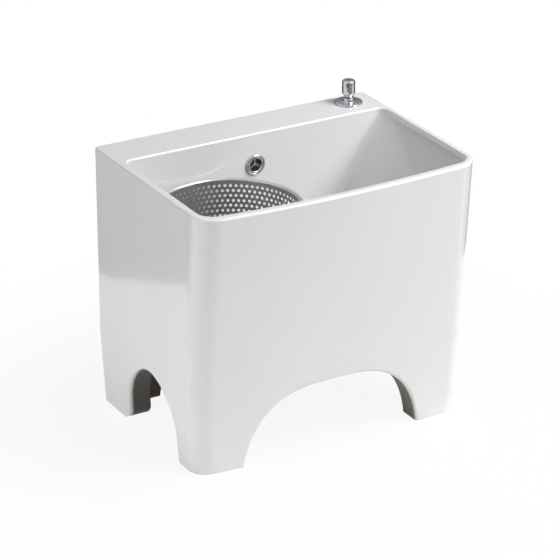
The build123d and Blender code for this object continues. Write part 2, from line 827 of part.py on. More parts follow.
# Fixed post: round base plate, axle with a shoulder, and the nuts that hold it
with BuildPart() as axle_flange:
    with BuildSketch(basket_level(post_plate_low)):
        Circle(axle_flange_radius)
    extrude(amount=axle_flange_thickness)
    chamfer(axle_flange.edges().group_by(Axis.Z)[-1], axle_flange_chamfer)
    with BuildSketch(basket_level(post_plate_top)):
        Circle(axle_boss_radius)
    extrude(amount=axle_boss_height)
    with BuildSketch(basket_level(post_plate_low)):
        Circle(bearing_bore_radius + snug)
    extrude(amount=axle_flange_thickness + axle_boss_height, mode=Mode.SUBTRACT)
axle_flange.part.label = "axle_flange"
export_step(axle_flange.part, "parts/axle_flange.step")

with BuildPart() as axle:
    with BuildSketch(basket_level(axle_end)):
        Circle(bearing_bore_radius)
    extrude(amount=axle_top - axle_end)
    chamfer(axle.edges().group_by(Axis.Z)[-1], axle_end_chamfer)
    with BuildSketch(basket_level(post_boss_top)):
        Circle(axle_shoulder_radius)
    extrude(amount=bearing_low - post_boss_top)
axle.part.label = "axle"
export_step(axle.part, "parts/axle.step")

with BuildPart() as axle_nut:
    with BuildSketch(basket_level(bearing_top)):
        RegularPolygon(axle_nut_across_flats / 2, 6, major_radius=False)
        Circle(bearing_bore_radius + seated, mode=Mode.SUBTRACT)
    extrude(amount=axle_nut_height)
axle_nut.part.label = "axle_nut"
export_step(axle_nut.part, "parts/axle_nut.step")

with BuildPart() as axle_gasket:
    with BuildSketch(basket_level(bay_floor_height)):
        Circle(axle_flange_radius)
        Circle(axle_hole_radius, mode=Mode.SUBTRACT)
    extrude(amount=axle_gasket_thickness)
axle_gasket.part.label = "axle_gasket"
export_step(axle_gasket.part, "parts/axle_gasket.step")

with BuildPart() as axle_washer:
    with BuildSketch(basket_level(axle_washer_low)):
        Circle(axle_washer_radius)
        Circle(bearing_bore_radius + snug, mode=Mode.SUBTRACT)
    extrude(amount=axle_washer_thickness)
axle_washer.part.label = "axle_washer"
export_step(axle_washer.part, "parts/axle_washer.step")

with BuildPart() as axle_base_nut:
    with BuildSketch(basket_level(axle_base_nut_low)):
        RegularPolygon(axle_nut_across_flats / 2, 6, major_radius=False)
        Circle(bearing_bore_radius + seated, mode=Mode.SUBTRACT)
    extrude(amount=axle_nut_height)
axle_base_nut.part.label = "axle_base_nut"
export_step(axle_base_nut.part, "parts/axle_base_nut.step")

# Waste flange: rim in the floor's recess, cup for the stopper and a threaded neck
with BuildPart() as drain_flange:
    with BuildSketch(drain_side):
        with BuildLine():
            Polyline(
                (flange_neck_bore, neck_end),
                (flange_neck_radius, neck_end),
                (flange_neck_radius, cup_underside),
                (flange_cup_radius, cup_underside),
                (flange_cup_radius, flange_underside),
                (flange_radius, flange_underside),
                (flange_radius, flange_top - flange_edge_drop),
                (flange_radius - flange_edge_width, flange_top),
                (flange_cup_bore + flange_cup_chamfer, flange_top),
                (flange_cup_bore, flange_top - flange_cup_chamfer),
                (flange_cup_bore, cup_floor),
                (flange_neck_bore, cup_floor),
                close=True,
            )
        make_face()
    revolve(axis=drain_axis)
drain_flange.part.label = "drain_flange"
export_step(drain_flange.part, "parts/drain_flange.step")

with BuildPart() as flange_gasket:
    with BuildSketch(drain_level(recess_floor)):
        Circle(flange_radius)
        Circle(drain_hole_radius, mode=Mode.SUBTRACT)
    extrude(amount=flange_gasket_thickness)
flange_gasket.part.label = "flange_gasket"
export_step(flange_gasket.part, "parts/flange_gasket.step")

# Waste body with overflow windows and the side port of the pivot rod
with BuildPart() as drain_body:
    with BuildSketch(drain_level(drain_body_end)):
        Circle(drain_body_radius)
    extrude(amount=cup_underside - drain_body_end)
    with BuildSketch(rod_plane(drain_bore - port_sink, pivot_height)):
        Circle(port_radius)
    extrude(amount=port_length - drain_bore + port_sink)
    with BuildSketch(drain_level(drain_body_end)):
        Circle(drain_bore)
    extrude(amount=cup_underside - drain_body_end, mode=Mode.SUBTRACT)
    with BuildSketch(rod_plane(0, pivot_height)):
        Circle(port_throat)
    extrude(amount=port_length, mode=Mode.SUBTRACT)
    with BuildSketch(rod_plane(port_length - port_seat_length, pivot_height)):
        Circle(port_bore)
    extrude(amount=port_seat_length, mode=Mode.SUBTRACT)
    with BuildSketch(drain_level(window_bottom)):
        with PolarLocations(drain_body_radius, window_count, start_angle=45):
            Rectangle(3 * drain_body_wall, window_width)
    extrude(amount=window_height, mode=Mode.SUBTRACT)
drain_body.part.label = "drain_body"
export_step(drain_body.part, "parts/drain_body.step")

with BuildPart() as collar_gasket:
    with BuildSketch(drain_level(collar_gasket_low)):
        Circle(collar_gasket_radius)
        Circle(drain_body_radius + snug, mode=Mode.SUBTRACT)
    extrude(amount=collar_gasket_thickness)
collar_gasket.part.label = "collar_gasket"
export_step(collar_gasket.part, "parts/collar_gasket.step")

with BuildPart() as collar_washer:
    with BuildSketch(drain_level(collar_washer_low)):
        Circle(collar_washer_radius)
        Circle(drain_body_radius + snug, mode=Mode.SUBTRACT)
    extrude(amount=collar_washer_thickness)
collar_washer.part.label = "collar_washer"
export_step(collar_washer.part, "parts/collar_washer.step")

with BuildPart() as collar_nut:
    with BuildSketch(drain_level(collar_nut_low)):
        RegularPolygon(collar_nut_radius, collar_nut_sides)
        Circle(drain_body_radius + snug, mode=Mode.SUBTRACT)
    extrude(amount=collar_nut_height)
collar_nut.part.label = "collar_nut"
export_step(collar_nut.part, "parts/collar_nut.step")

# Outlet tube with a bead that stops the hose, its seal and union nut
tail_seal_low = drain_body_end - tail_seal_thickness
tail_nut_low = tail_seal_low - tail_nut_lip
with BuildPart() as tailpiece:
    with BuildSketch(drain_level(tail_end)):
        Circle(tail_radius)
    extrude(amount=drain_body_end + tail_overlap - tail_end)
    with BuildSketch(drain_side):
        with Locations((tail_radius, tail_nut_low - tail_bead_below_nut)):
            Circle(tail_bead_radius)
    revolve(axis=drain_axis)
    with BuildSketch(drain_level(tail_end)):
        Circle(tail_radius - tail_wall)
    extrude(amount=drain_body_end + tail_overlap - tail_end, mode=Mode.SUBTRACT)
tailpiece.part.label = "tailpiece"
export_step(tailpiece.part, "parts/tailpiece.step")

with BuildPart() as tail_seal:
    with BuildSketch(drain_level(tail_seal_low)):
        Circle(drain_body_radius)
        Circle(tail_radius + seated, mode=Mode.SUBTRACT)
    extrude(amount=tail_seal_thickness)
tail_seal.part.label = "tail_seal"
export_step(tail_seal.part, "parts/tail_seal.step")

with BuildPart() as tail_nut:
    with BuildSketch(drain_level(tail_nut_low)):
        RegularPolygon(tail_nut_radius, tail_nut_sides)
        Circle(tail_radius + snug, mode=Mode.SUBTRACT)
    extrude(amount=tail_nut_height)
    with BuildSketch(drain_level(tail_seal_low)):
        Circle(drain_body_radius + snug)
    extrude(amount=tail_nut_height, mode=Mode.SUBTRACT)
tail_nut.part.label = "tail_nut"
export_step(tail_nut.part, "parts/tail_nut.step")

# Pop-up stopper: cap, seal and finned stem with an eye for the pivot rod
with BuildPart() as stopper_cap:
    with BuildSketch(drain_level(cap_low)):
        Circle(stopper_radius)
    extrude(amount=stopper_thickness)
    fillet(stopper_cap.edges().group_by(Axis.Z)[-1], stopper_rounding)
stopper_cap.part.label = "stopper_cap"
export_step(stopper_cap.part, "parts/stopper_cap.step")

with BuildPart() as stopper_seal:
    with BuildSketch(drain_level(seal_low)):
        Circle(stopper_seal_radius)
        Circle(stopper_seal_bore, mode=Mode.SUBTRACT)
    extrude(amount=stopper_seal_thickness)
stopper_seal.part.label = "stopper_seal"
export_step(stopper_seal.part, "parts/stopper_seal.step")

with BuildPart() as stopper_stem:
    with BuildSketch(drain_level(eye_height)):
        Circle(stem_radius)
    extrude(amount=cap_low - eye_height)
    with BuildSketch(drain_level(seal_low)):
        Rectangle(2 * stem_fin_radius, stem_fin_thickness)
        Rectangle(stem_fin_thickness, 2 * stem_fin_radius)
    extrude(amount=-stem_fin_length)
    with BuildSketch(drain_level(seal_low)):
        Circle(stopper_seal_bore - snug)
    extrude(amount=stopper_seal_thickness)
    with BuildSketch(rod_plane(-stem_eye_thickness / 2, eye_height)):
        Circle(stem_eye_radius)
    extrude(amount=stem_eye_thickness)
    with BuildSketch(rod_plane(-stem_eye_thickness, eye_height)):
        Circle(stem_eye_hole)
    extrude(amount=2 * stem_eye_thickness, mode=Mode.SUBTRACT)
stopper_stem.part.label = "stopper_stem"
export_step(stopper_stem.part, "parts/stopper_stem.step")

# Ball rod, its split seat and the cap nut of the port
with BuildPart() as pivot_rod:
    with BuildSketch(tilted_rod_plane(-pivot_rod_past_stem)):
        Circle(pivot_rod_radius)
    extrude(amount=(strap_reach + pivot_rod_past_strap + pivot_rod_past_stem) / cos(rod_tilt))
    chamfer(pivot_rod.edges().filter_by(GeomType.CIRCLE), rod_end_chamfer)
    with Locations(tilted_rod_plane(pivot_reach)):
        Sphere(pivot_ball_radius)
pivot_rod.part.label = "pivot_rod"
export_step(pivot_rod.part, "parts/pivot_rod.step")

with BuildPart() as pivot_seat:
    with BuildSketch(rod_plane(port_length - port_seat_length, pivot_height)):
        Circle(port_bore - snug)
        Circle(pivot_seat_opening, mode=Mode.SUBTRACT)
    extrude(amount=port_seat_length)
    with Locations(rod_plane(pivot_reach, pivot_height)):
        Sphere(pivot_ball_radius + running, mode=Mode.SUBTRACT)
pivot_seat.part.label = "pivot_seat"
export_step(pivot_seat.part, "parts/pivot_seat.step")

with BuildPart() as pivot_nut:
    with BuildSketch(rod_plane(port_length + pivot_nut_lip, pivot_height)):
        RegularPolygon(pivot_nut_across_flats / 2, 6, major_radius=False)
        Circle(pivot_nut_opening, mode=Mode.SUBTRACT)
    extrude(amount=-pivot_nut_length)
    with BuildSketch(rod_plane(port_length, pivot_height)):
        Circle(port_radius + snug)
    extrude(amount=-pivot_nut_length, mode=Mode.SUBTRACT)
pivot_nut.part.label = "pivot_nut"
export_step(pivot_nut.part, "parts/pivot_nut.step")

# Strap that hangs from the lift rod and carries the pivot rod
with BuildPart() as lift_strap:
    with BuildSketch(rod_plane(strap_reach - strap_thickness / 2, strap_low)):
        Rectangle(strap_width, strap_height, align=(Align.CENTER, Align.MIN))
        with Locations((0, strap_margin)):
            with GridLocations(0, strap_hole_pitch, 1, strap_hole_count, align=(Align.CENTER, Align.MIN)):
                Circle(strap_hole_radius, mode=Mode.SUBTRACT)
    extrude(amount=strap_thickness)
    with BuildSketch(rod_plane(strap_reach - strap_thickness / 2, strap_block_low)):
        Rectangle(strap_block_width, strap_block_height, align=(Align.CENTER, Align.MIN))
    extrude(amount=strap_thickness / 2 + strap_stand_off + strap_block_past_rod)
    with BuildSketch(knob_level(strap_block_low)):
        Circle(lift_rod_radius + seated)
    extrude(amount=strap_block_height, mode=Mode.SUBTRACT)
    with BuildSketch(rod_plane(rod_run, strap_block_low + strap_block_height / 2)):
        Circle(strap_screw_radius + seated)
    extrude(amount=2 * strap_block_past_rod, mode=Mode.SUBTRACT)
lift_strap.part.label = "lift_strap"
export_step(lift_strap.part, "parts/lift_strap.step")

with BuildPart() as strap_screw:
    screw_height = strap_block_low + strap_block_height / 2
    screw_tip = rod_run + lift_rod_radius
    screw_head = rod_run + strap_block_past_rod + strap_screw_shank
    with BuildSketch(rod_plane(screw_tip, screw_height)):
        Circle(strap_screw_radius)
    extrude(amount=screw_head - screw_tip)
    with BuildSketch(rod_plane(screw_head, screw_height)):
        RegularPolygon(strap_screw_head_radius, strap_screw_head_sides)
    extrude(amount=strap_screw_head_thickness)
strap_screw.part.label = "strap_screw"
export_step(strap_screw.part, "parts/strap_screw.step")

with BuildPart() as spring_clip:
    clip_half = clip_gap + clip_thickness
    clip_low = strap_hole_height - clip_height / 2
    with BuildSketch(rod_plane(strap_reach - clip_half, clip_low)):
        with Locations((-clip_height / 2, 0)):
            Rectangle(clip_reach + clip_height / 2, clip_height, align=(Align.MIN, Align.MIN))
    extrude(amount=2 * clip_half)
    with BuildSketch(rod_plane(strap_reach - clip_gap, clip_low)):
        with Locations((-clip_height / 2, 0)):
            inner_reach = clip_reach + clip_height / 2 - clip_thickness
            Rectangle(inner_reach, clip_height, align=(Align.MIN, Align.MIN))
    extrude(amount=2 * clip_gap, mode=Mode.SUBTRACT)
    with BuildSketch(tilted_rod_plane(strap_reach - 2 * clip_half)):
        Circle(pivot_rod_radius + seated)
    extrude(amount=4 * clip_half, mode=Mode.SUBTRACT)
spring_clip.part.label = "spring_clip"
export_step(spring_clip.part, "parts/spring_clip.step")

# Lift rod and knob
with BuildPart() as lift_rod:
    with BuildSketch(knob_level(lift_rod_end)):
        Circle(lift_rod_radius)
    extrude(amount=knob_low + knob_socket_depth - lift_rod_end)
    chamfer(lift_rod.edges().group_by(Axis.Z)[0], rod_end_chamfer)
lift_rod.part.label = "lift_rod"
export_step(lift_rod.part, "parts/lift_rod.step")

with BuildPart() as lift_knob:
    with BuildSketch(knob_side):
        with BuildLine():
            Polyline(
                (0, knob_low),
                (knob_foot_radius, knob_low),
                (knob_radius, knob_low + knob_taper_height),
                (knob_radius, knob_top),
                (0, knob_top),
                close=True,
            )
        make_face()
    revolve(axis=knob_axis)
    fillet(lift_knob.edges().group_by(Axis.Z)[-1], knob_rounding)
    fillet(lift_knob.edges().group_by(Axis.Z)[0], knob_foot_rounding)
    with BuildSketch(knob_level(knob_low)):
        Circle(lift_rod_radius + seated)
    extrude(amount=knob_socket_depth, mode=Mode.SUBTRACT)
lift_knob.part.label = "lift_knob"
export_step(lift_knob.part, "parts/lift_knob.step")

# Ledge fittings round the lift rod
with BuildPart() as lift_escutcheon:
    with BuildSketch(knob_level(plate_low)):
        Circle(escutcheon_radius)
    extrude(amount=escutcheon_thickness)
    fillet(lift_escutcheon.edges().group_by(Axis.Z)[-1], escutcheon_rounding)
    with BuildSketch(knob_level(plate_top)):
        Circle(escutcheon_collar_radius)
    extrude(amount=escutcheon_collar_height)
    fillet(lift_escutcheon.edges().group_by(Axis.Z)[-1], escutcheon_rounding)
    with BuildSketch(knob_level(plate_low)):
        Circle(sleeve_radius + seated)
    extrude(amount=sleeve_top - plate_low, mode=Mode.SUBTRACT)
    with BuildSketch(knob_level(plate_low)):
        Circle(lift_rod_radius + escutcheon_rod_gap)
    extrude(amount=collar_top - plate_low, mode=Mode.SUBTRACT)
lift_escutcheon.part.label = "lift_escutcheon"
export_step(lift_escutcheon.part, "parts/lift_escutcheon.step")

with BuildPart() as guide_sleeve:
    with BuildSketch(knob_level(sleeve_end)):
        Circle(sleeve_radius)
        Circle(lift_rod_radius + running, mode=Mode.SUBTRACT)
    extrude(amount=sleeve_top - sleeve_end)
guide_sleeve.part.label = "guide_sleeve"
export_step(guide_sleeve.part, "parts/guide_sleeve.step")

with BuildPart() as ledge_gasket:
    with BuildSketch(knob_level(body_height)):
        Circle(escutcheon_radius - ledge_gasket_inset)
        Circle(ledge_hole_radius, mode=Mode.SUBTRACT)
    extrude(amount=ledge_gasket_thickness)
ledge_gasket.part.label = "ledge_gasket"
export_step(ledge_gasket.part, "parts/ledge_gasket.step")

with BuildPart() as ledge_washer:
    with BuildSketch(knob_level(ledge_washer_low)):
        Circle(ledge_washer_radius)
        Circle(sleeve_radius + snug, mode=Mode.SUBTRACT)
    extrude(amount=ledge_washer_thickness)
ledge_washer.part.label = "ledge_washer"
export_step(ledge_washer.part, "parts/ledge_washer.step")

with BuildPart() as ledge_nut:
    with BuildSketch(knob_level(ledge_nut_low)):
        RegularPolygon(ledge_nut_across_flats / 2, 6, major_radius=False)
        Circle(sleeve_radius + seated, mode=Mode.SUBTRACT)
    extrude(amount=ledge_nut_height)
ledge_nut.part.label = "ledge_nut"
export_step(ledge_nut.part, "parts/ledge_nut.step")

# Overflow: rounded ring with three plain bars set back in its bore, and its gasket
ring_back_y = ledge_front_y - overflow_gasket_thickness
ring_front_y = ring_back_y - overflow_ring_stand
with BuildPart() as overflow_ring:
    with BuildSketch(overflow_plane(ring_back_y)):
        Circle(overflow_ring_radius)
    extrude(amount=overflow_ring_stand)
    fillet(overflow_ring.edges().group_by(Axis.Y)[0], overflow_lip_rounding)
    with BuildSketch(overflow_plane(ring_back_y)):
        Circle(overflow_neck_radius)
    extrude(amount=-overflow_neck_length)
    with BuildSketch(overflow_plane(ring_front_y - over)):
        Circle(overflow_ring_bore)
    extrude(amount=-overflow_ring_stand - overflow_neck_length - 2 * over, mode=Mode.SUBTRACT)
    fillet(overflow_ring.edges().group_by(Axis.Y)[0], overflow_lip_rounding)
    with BuildSketch(overflow_plane(ring_front_y + overflow_bar_recess)):
        Circle(overflow_hub_radius)
        with PolarLocations(overflow_ring_bore / 2, overflow_bar_count, start_angle=90):
            Rectangle(overflow_ring_bore + 2 * overflow_bar_sink, overflow_bar_width)
    extrude(amount=-overflow_bar_thickness)
overflow_ring.part.label = "overflow_ring"
export_step(overflow_ring.part, "parts/overflow_ring.step")

with BuildPart() as overflow_gasket:
    with BuildSketch(overflow_plane(ledge_front_y)):
        Circle(overflow_ring_radius - overflow_gasket_inset)
        Circle(overflow_hole_radius, mode=Mode.SUBTRACT)
    extrude(amount=overflow_gasket_thickness)
overflow_gasket.part.label = "overflow_gasket"
export_step(overflow_gasket.part, "parts/overflow_gasket.step")
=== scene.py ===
"""Mop sink: finished surfaces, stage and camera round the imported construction."""

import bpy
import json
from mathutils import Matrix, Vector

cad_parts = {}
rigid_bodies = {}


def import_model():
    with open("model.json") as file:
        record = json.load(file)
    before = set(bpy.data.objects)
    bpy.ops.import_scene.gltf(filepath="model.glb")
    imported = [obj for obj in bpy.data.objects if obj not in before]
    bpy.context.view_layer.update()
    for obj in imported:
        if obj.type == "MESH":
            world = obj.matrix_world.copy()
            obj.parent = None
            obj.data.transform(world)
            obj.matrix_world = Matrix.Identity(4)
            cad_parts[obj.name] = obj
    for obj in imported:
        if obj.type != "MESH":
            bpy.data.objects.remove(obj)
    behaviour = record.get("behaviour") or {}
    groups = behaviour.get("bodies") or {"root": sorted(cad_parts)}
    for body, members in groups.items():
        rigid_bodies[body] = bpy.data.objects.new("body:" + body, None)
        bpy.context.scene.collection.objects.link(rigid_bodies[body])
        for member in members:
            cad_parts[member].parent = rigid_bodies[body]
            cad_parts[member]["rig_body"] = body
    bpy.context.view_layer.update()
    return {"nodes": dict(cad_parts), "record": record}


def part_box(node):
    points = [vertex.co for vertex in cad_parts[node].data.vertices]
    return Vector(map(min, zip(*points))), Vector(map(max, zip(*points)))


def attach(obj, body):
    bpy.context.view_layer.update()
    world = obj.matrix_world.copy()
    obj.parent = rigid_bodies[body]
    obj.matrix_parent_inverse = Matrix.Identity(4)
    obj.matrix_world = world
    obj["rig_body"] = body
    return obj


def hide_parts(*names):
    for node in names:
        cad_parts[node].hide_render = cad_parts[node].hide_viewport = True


bl_info = {
    "name": "Mop Sink",
    "version": (1, 0, 0),
    "blender": (4, 5, 0),
    "location": "3D View > Sidebar > Mop Sink",
    "description": "Glazed body, perforated spin basket, chromed fittings and a plain stage",
    "category": "Object",
}

import json
import math

import bmesh
import bpy
from mathutils import Matrix, Vector

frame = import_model()

MM = 0.001

# Fineness of the meshes
CELL_SIDES = 4
HOLE_SIDES = 4 * CELL_SIDES
BEAD_SIDES = 16
RIM_STEPS = 160
LATHE_STEPS = 96
HUB_STEPS = 32
FLOOR_SIDES = 96

# Edges that turn by less than this are shaded smooth
BODY_CREASE = math.radians(28)
FITTING_CREASE = math.radians(30)
TURNED_CREASE = math.radians(35)

# Edges of a fitting that turn by more than this get their soft edge
SOFT_EDGE_CREASE = math.radians(40)

# Points of a mesh that are nearer than this are merged, and slivers of a node go
NODE_MERGE = 0.004 * MM
NODE_SLIVER = 0.002 * MM
SEAM_MERGE = 0.02 * MM
LATHE_MERGE = 0.005 * MM


def middle(node):
    """The centre of a construction node's box."""
    low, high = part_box(node)
    return (low + high) / 2


BASKET_LOW, BASKET_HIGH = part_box("basket_shell")
BASKET_AXIS = middle("basket_shell")
KNOB_LOW, KNOB_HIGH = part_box("lift_knob")
KNOB_AXIS = middle("lift_knob")
PLATE_LOW, PLATE_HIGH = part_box("lift_escutcheon")
RING_LOW, RING_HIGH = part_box("overflow_ring")
BODY_LOW, BODY_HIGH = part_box("basin_body")

# Outer form of the body; behind it, inside the feet, the clay is painted dark as painted shade
FOOT_HEIGHT = 120.5 * MM
FRONT_LEAN_FOOT = 29.1 * MM
FRONT_LEAN_FLOOR = 37.0 * MM
FRONT_BOW = 12.0 * MM
SIDE_TAPER = 7.0 * MM
CORNER_RADIUS = 32.0 * MM
BAY_UNDERSIDE = 205.0 * MM

# Where the glaze ends: behind the outer form, under the bay and above the floor; the clay there is
# painted dark as painted shade, more so deeper behind the outer form
CLAY_SHADE_BEGINS, CLAY_SHADE_FULL = 2.5 * MM, 8 * MM
UNDERSIDE_FADE = 8 * MM
SOLE_IS_BARE, SOLE_ENDS = 0.1 * MM, 0.4 * MM

# Nodes that have a piece modelled anew
REMODELLED = ("basin_body", "basket_shell", "lift_knob", "lift_escutcheon", "overflow_ring")

# Other nodes that can be seen from above or below, and the width of their soft edges
SOFT_EDGES = {
    "mop_seat": 0.5 * MM,
    "hub_cap": 0.3 * MM,
    "drain_flange": 0.3 * MM,
    "stopper_cap": 0.2 * MM,
    "seat_screws": 0.15 * MM,
    "axle_flange": 0.4 * MM,
    "tailpiece": 0.2 * MM,
    "collar_nut": 0.6 * MM,
    "tail_nut": 0.6 * MM,
    "pivot_nut": 0.5 * MM,
    "drain_body": 0.4 * MM,
}

# Lamps: name, place, size, power and whether they show in the sink's gloss
LAMPS = (
    ("key", (1.7, -1.8, 2.7), 1.8, 92, True),
    ("top", (1.3, -0.5, 2.0), 1.2, 23, False),
    ("side", (-2.8, -0.2, 0.6), 1.8, 35, False),
)
LAMP_TARGET = Vector((0, 0, 0.25))

# Pale cards in the gloss: turn from the front, half width where full and where gone, strength
CARDS = (
    (-1.64, 0.54, 0.74, 0.8),
    (0.96, 0.26, 0.42, 0.75),
    (0.0, 0.5, 0.7, 0.13),
)
ROOM_COLOUR = (0.98, 0.985, 1.0, 1)
ROOM_IN_GLOSS, OVERHEAD_IN_GLOSS = 0.12, 0.6
ROOM_LIGHT, LIGHT_FROM_BELOW = 0.1, 0.34

# Rise of a direction in the room, from -1 straight down to 1 straight up
OVERHEAD = (0.1, 0.75)
UNDERFOOT = (-0.58, -0.46)
HORIZON = (-0.05, 0.0)

# The floor: its colour in the light, how white it is seen, and where that fades to all white
FLOOR_RADIUS = 0.75
FLOOR_COLOUR = (0.82, 0.82, 0.82, 1)
FLOOR_WHITENESS = 0.91
FLOOR_FADE = (FLOOR_RADIUS * 0.4, FLOOR_RADIUS * 0.98)

# Camera: width of its frame, which the lens is for, and nearest and farthest point seen
FRAME_WIDTH = 36
NEAR, FAR = 0.1, 60
WHITE = (1, 1, 1, 1)


# Settings that a user would change

class SinkLooks(bpy.types.PropertyGroup):
    """Colours and finish of the sink's surfaces"""

    glaze: bpy.props.FloatVectorProperty(
        name="Glaze", description="Colour of the glazed ceramic",
        subtype="COLOR", size=3, min=0, max=1, default=(0.88, 0.88, 0.895),
    )
    # Unglazed clay, made dark as painted shade: it stands for the shade inside the feet and also
    # colours the sole
    clay_and_shade: bpy.props.FloatVectorProperty(
        name="Clay in shade", description="Colour of the unglazed ceramic under the bay",
        subtype="COLOR", size=3, min=0, max=1, default=(0.15, 0.135, 0.12),
    )
    steel: bpy.props.FloatVectorProperty(
        name="Steel", description="Colour of the brushed stainless basket",
        subtype="COLOR", size=3, min=0, max=1, default=(0.66, 0.66, 0.65),
    )
    chrome: bpy.props.FloatVectorProperty(
        name="Chrome", description="Colour of the chromed fittings",
        subtype="COLOR", size=3, min=0, max=1, default=(0.66, 0.66, 0.68),
    )


class BasketSizes(bpy.types.PropertyGroup):
    """Sizes of the perforated basket"""

    hole_radius: bpy.props.FloatProperty(
        name="Hole radius", description="Radius of one hole in the basket's wall",
        unit="LENGTH", default=2.4 * MM, min=0.5 * MM, max=4 * MM,
    )
    holes_round: bpy.props.IntProperty(
        name="Holes round", description="Holes in one row round the wall",
        default=78, min=12, max=120,
    )
    rows: bpy.props.IntProperty(
        name="Rows", description="Rows of holes, one above the other", default=11, min=1, max=12,
    )
    row_pitch: bpy.props.FloatProperty(
        name="Row pitch", description="Height from one row of holes to the next",
        unit="LENGTH", default=7.95 * MM, min=4 * MM, max=20 * MM,
    )
    first_row: bpy.props.FloatProperty(
        name="First row", description="Distance of the first row below the rim's top",
        unit="LENGTH", default=11.2 * MM, min=8 * MM, max=30 * MM,
    )
    pattern_turn: bpy.props.FloatProperty(
        name="Pattern turn", description="Turn of the first hole from the right-hand side",
        subtype="ANGLE", default=math.radians(-1.25),
    )
    bead_radius: bpy.props.FloatProperty(
        name="Bead radius", description="Radius of the rolled rim",
        unit="LENGTH", default=3.5 * MM, min=1 * MM, max=6 * MM,
    )
    taper: bpy.props.FloatProperty(
        name="Taper", description="How much less the floor's radius is than the rim's",
        unit="LENGTH", default=13.6 * MM, min=0, max=40 * MM,
    )
    bend: bpy.props.FloatProperty(
        name="Bend", description="Radius between the wall and the floor",
        unit="LENGTH", default=8.0 * MM, min=2 * MM, max=20 * MM,
    )
    centre_hole: bpy.props.FloatProperty(
        name="Centre hole", description="Radius of the hole for the hub's cap",
        unit="LENGTH", default=13.0 * MM, min=5 * MM, max=30 * MM,
    )
    floor_rows: bpy.props.IntProperty(
        name="Floor rows", description="Rings of holes in the floor", default=2, min=1, max=3,
    )
    floor_pitch: bpy.props.FloatProperty(
        name="Floor pitch", description="Distance from one ring of floor holes to the next",
        unit="LENGTH", default=6.8 * MM, min=4 * MM, max=12 * MM,
    )
    floor_hole_radius: bpy.props.FloatProperty(
        name="Floor hole radius", description="Radius of one hole in the floor",
        unit="LENGTH", default=1.9 * MM, min=0.5 * MM, max=3 * MM,
    )
    wall: bpy.props.FloatProperty(
        name="Wall", description="Thickness of the basket's sheet",
        unit="LENGTH", default=1.0 * MM, min=0.4 * MM, max=3 * MM,
    )


class StageSettings(bpy.types.PropertyGroup):
    """Camera and light"""

    azimuth: bpy.props.FloatProperty(
        name="Azimuth", description="Turn of the camera round the sink, from the front",
        subtype="ANGLE", default=math.radians(-29.93),
    )
    elevation: bpy.props.FloatProperty(
        name="Elevation", description="Height of the camera over the horizon",
        subtype="ANGLE", default=math.radians(24.24),
    )
    distance: bpy.props.FloatProperty(
        name="Distance", description="From the camera to the point that it looks at",
        unit="LENGTH", default=4.5254,
    )
    target: bpy.props.FloatVectorProperty(
        name="Target", description="Point that the camera looks at",
        subtype="TRANSLATION", unit="LENGTH", size=3, default=(-16.6 * MM, -2.9 * MM, 227.6 * MM),
    )
    lens: bpy.props.FloatProperty(
        name="Lens", description="Focal length on a 36 mm frame, in millimetres", default=189.3,
    )


# Shader maths as Python expressions

class Field:
    """One output of a node tree; expressions on it add Math nodes."""

    def __init__(self, paint, socket):
        self.paint = paint
        self.socket = socket

    def maths(self, operation, *values):
        """A Math node on the values."""
        return self.paint.node("ShaderNodeMath", {"operation": operation}, dict(enumerate(values)))

    def __add__(self, other):
        return self.maths("ADD", self, other)

    def __radd__(self, other):
        return self.maths("ADD", other, self)

    def __sub__(self, other):
        return self.maths("SUBTRACT", self, other)

    def __rsub__(self, other):
        return self.maths("SUBTRACT", other, self)

    def __mul__(self, other):
        return self.maths("MULTIPLY", self, other)

    def __rmul__(self, other):
        return self.maths("MULTIPLY", other, self)

    def __truediv__(self, other):
        return self.maths("DIVIDE", self, other)

    def least(self, other):
        """The lesser of two values."""
        return self.maths("MINIMUM", self, other)

    def most(self, other):
        """The greater of two values."""
        return self.maths("MAXIMUM", self, other)

    def size(self):
        """The value without its sign."""
        return self.maths("ABSOLUTE", self)

    def step(self, low, high):
        """0 at low, 1 at high and a smooth change between them; low may be the larger."""
        return self.paint.node(
            "ShaderNodeMapRange", {"interpolation_type": "SMOOTHSTEP"},
            {"Value": self, "From Min": low, "From Max": high},
        )


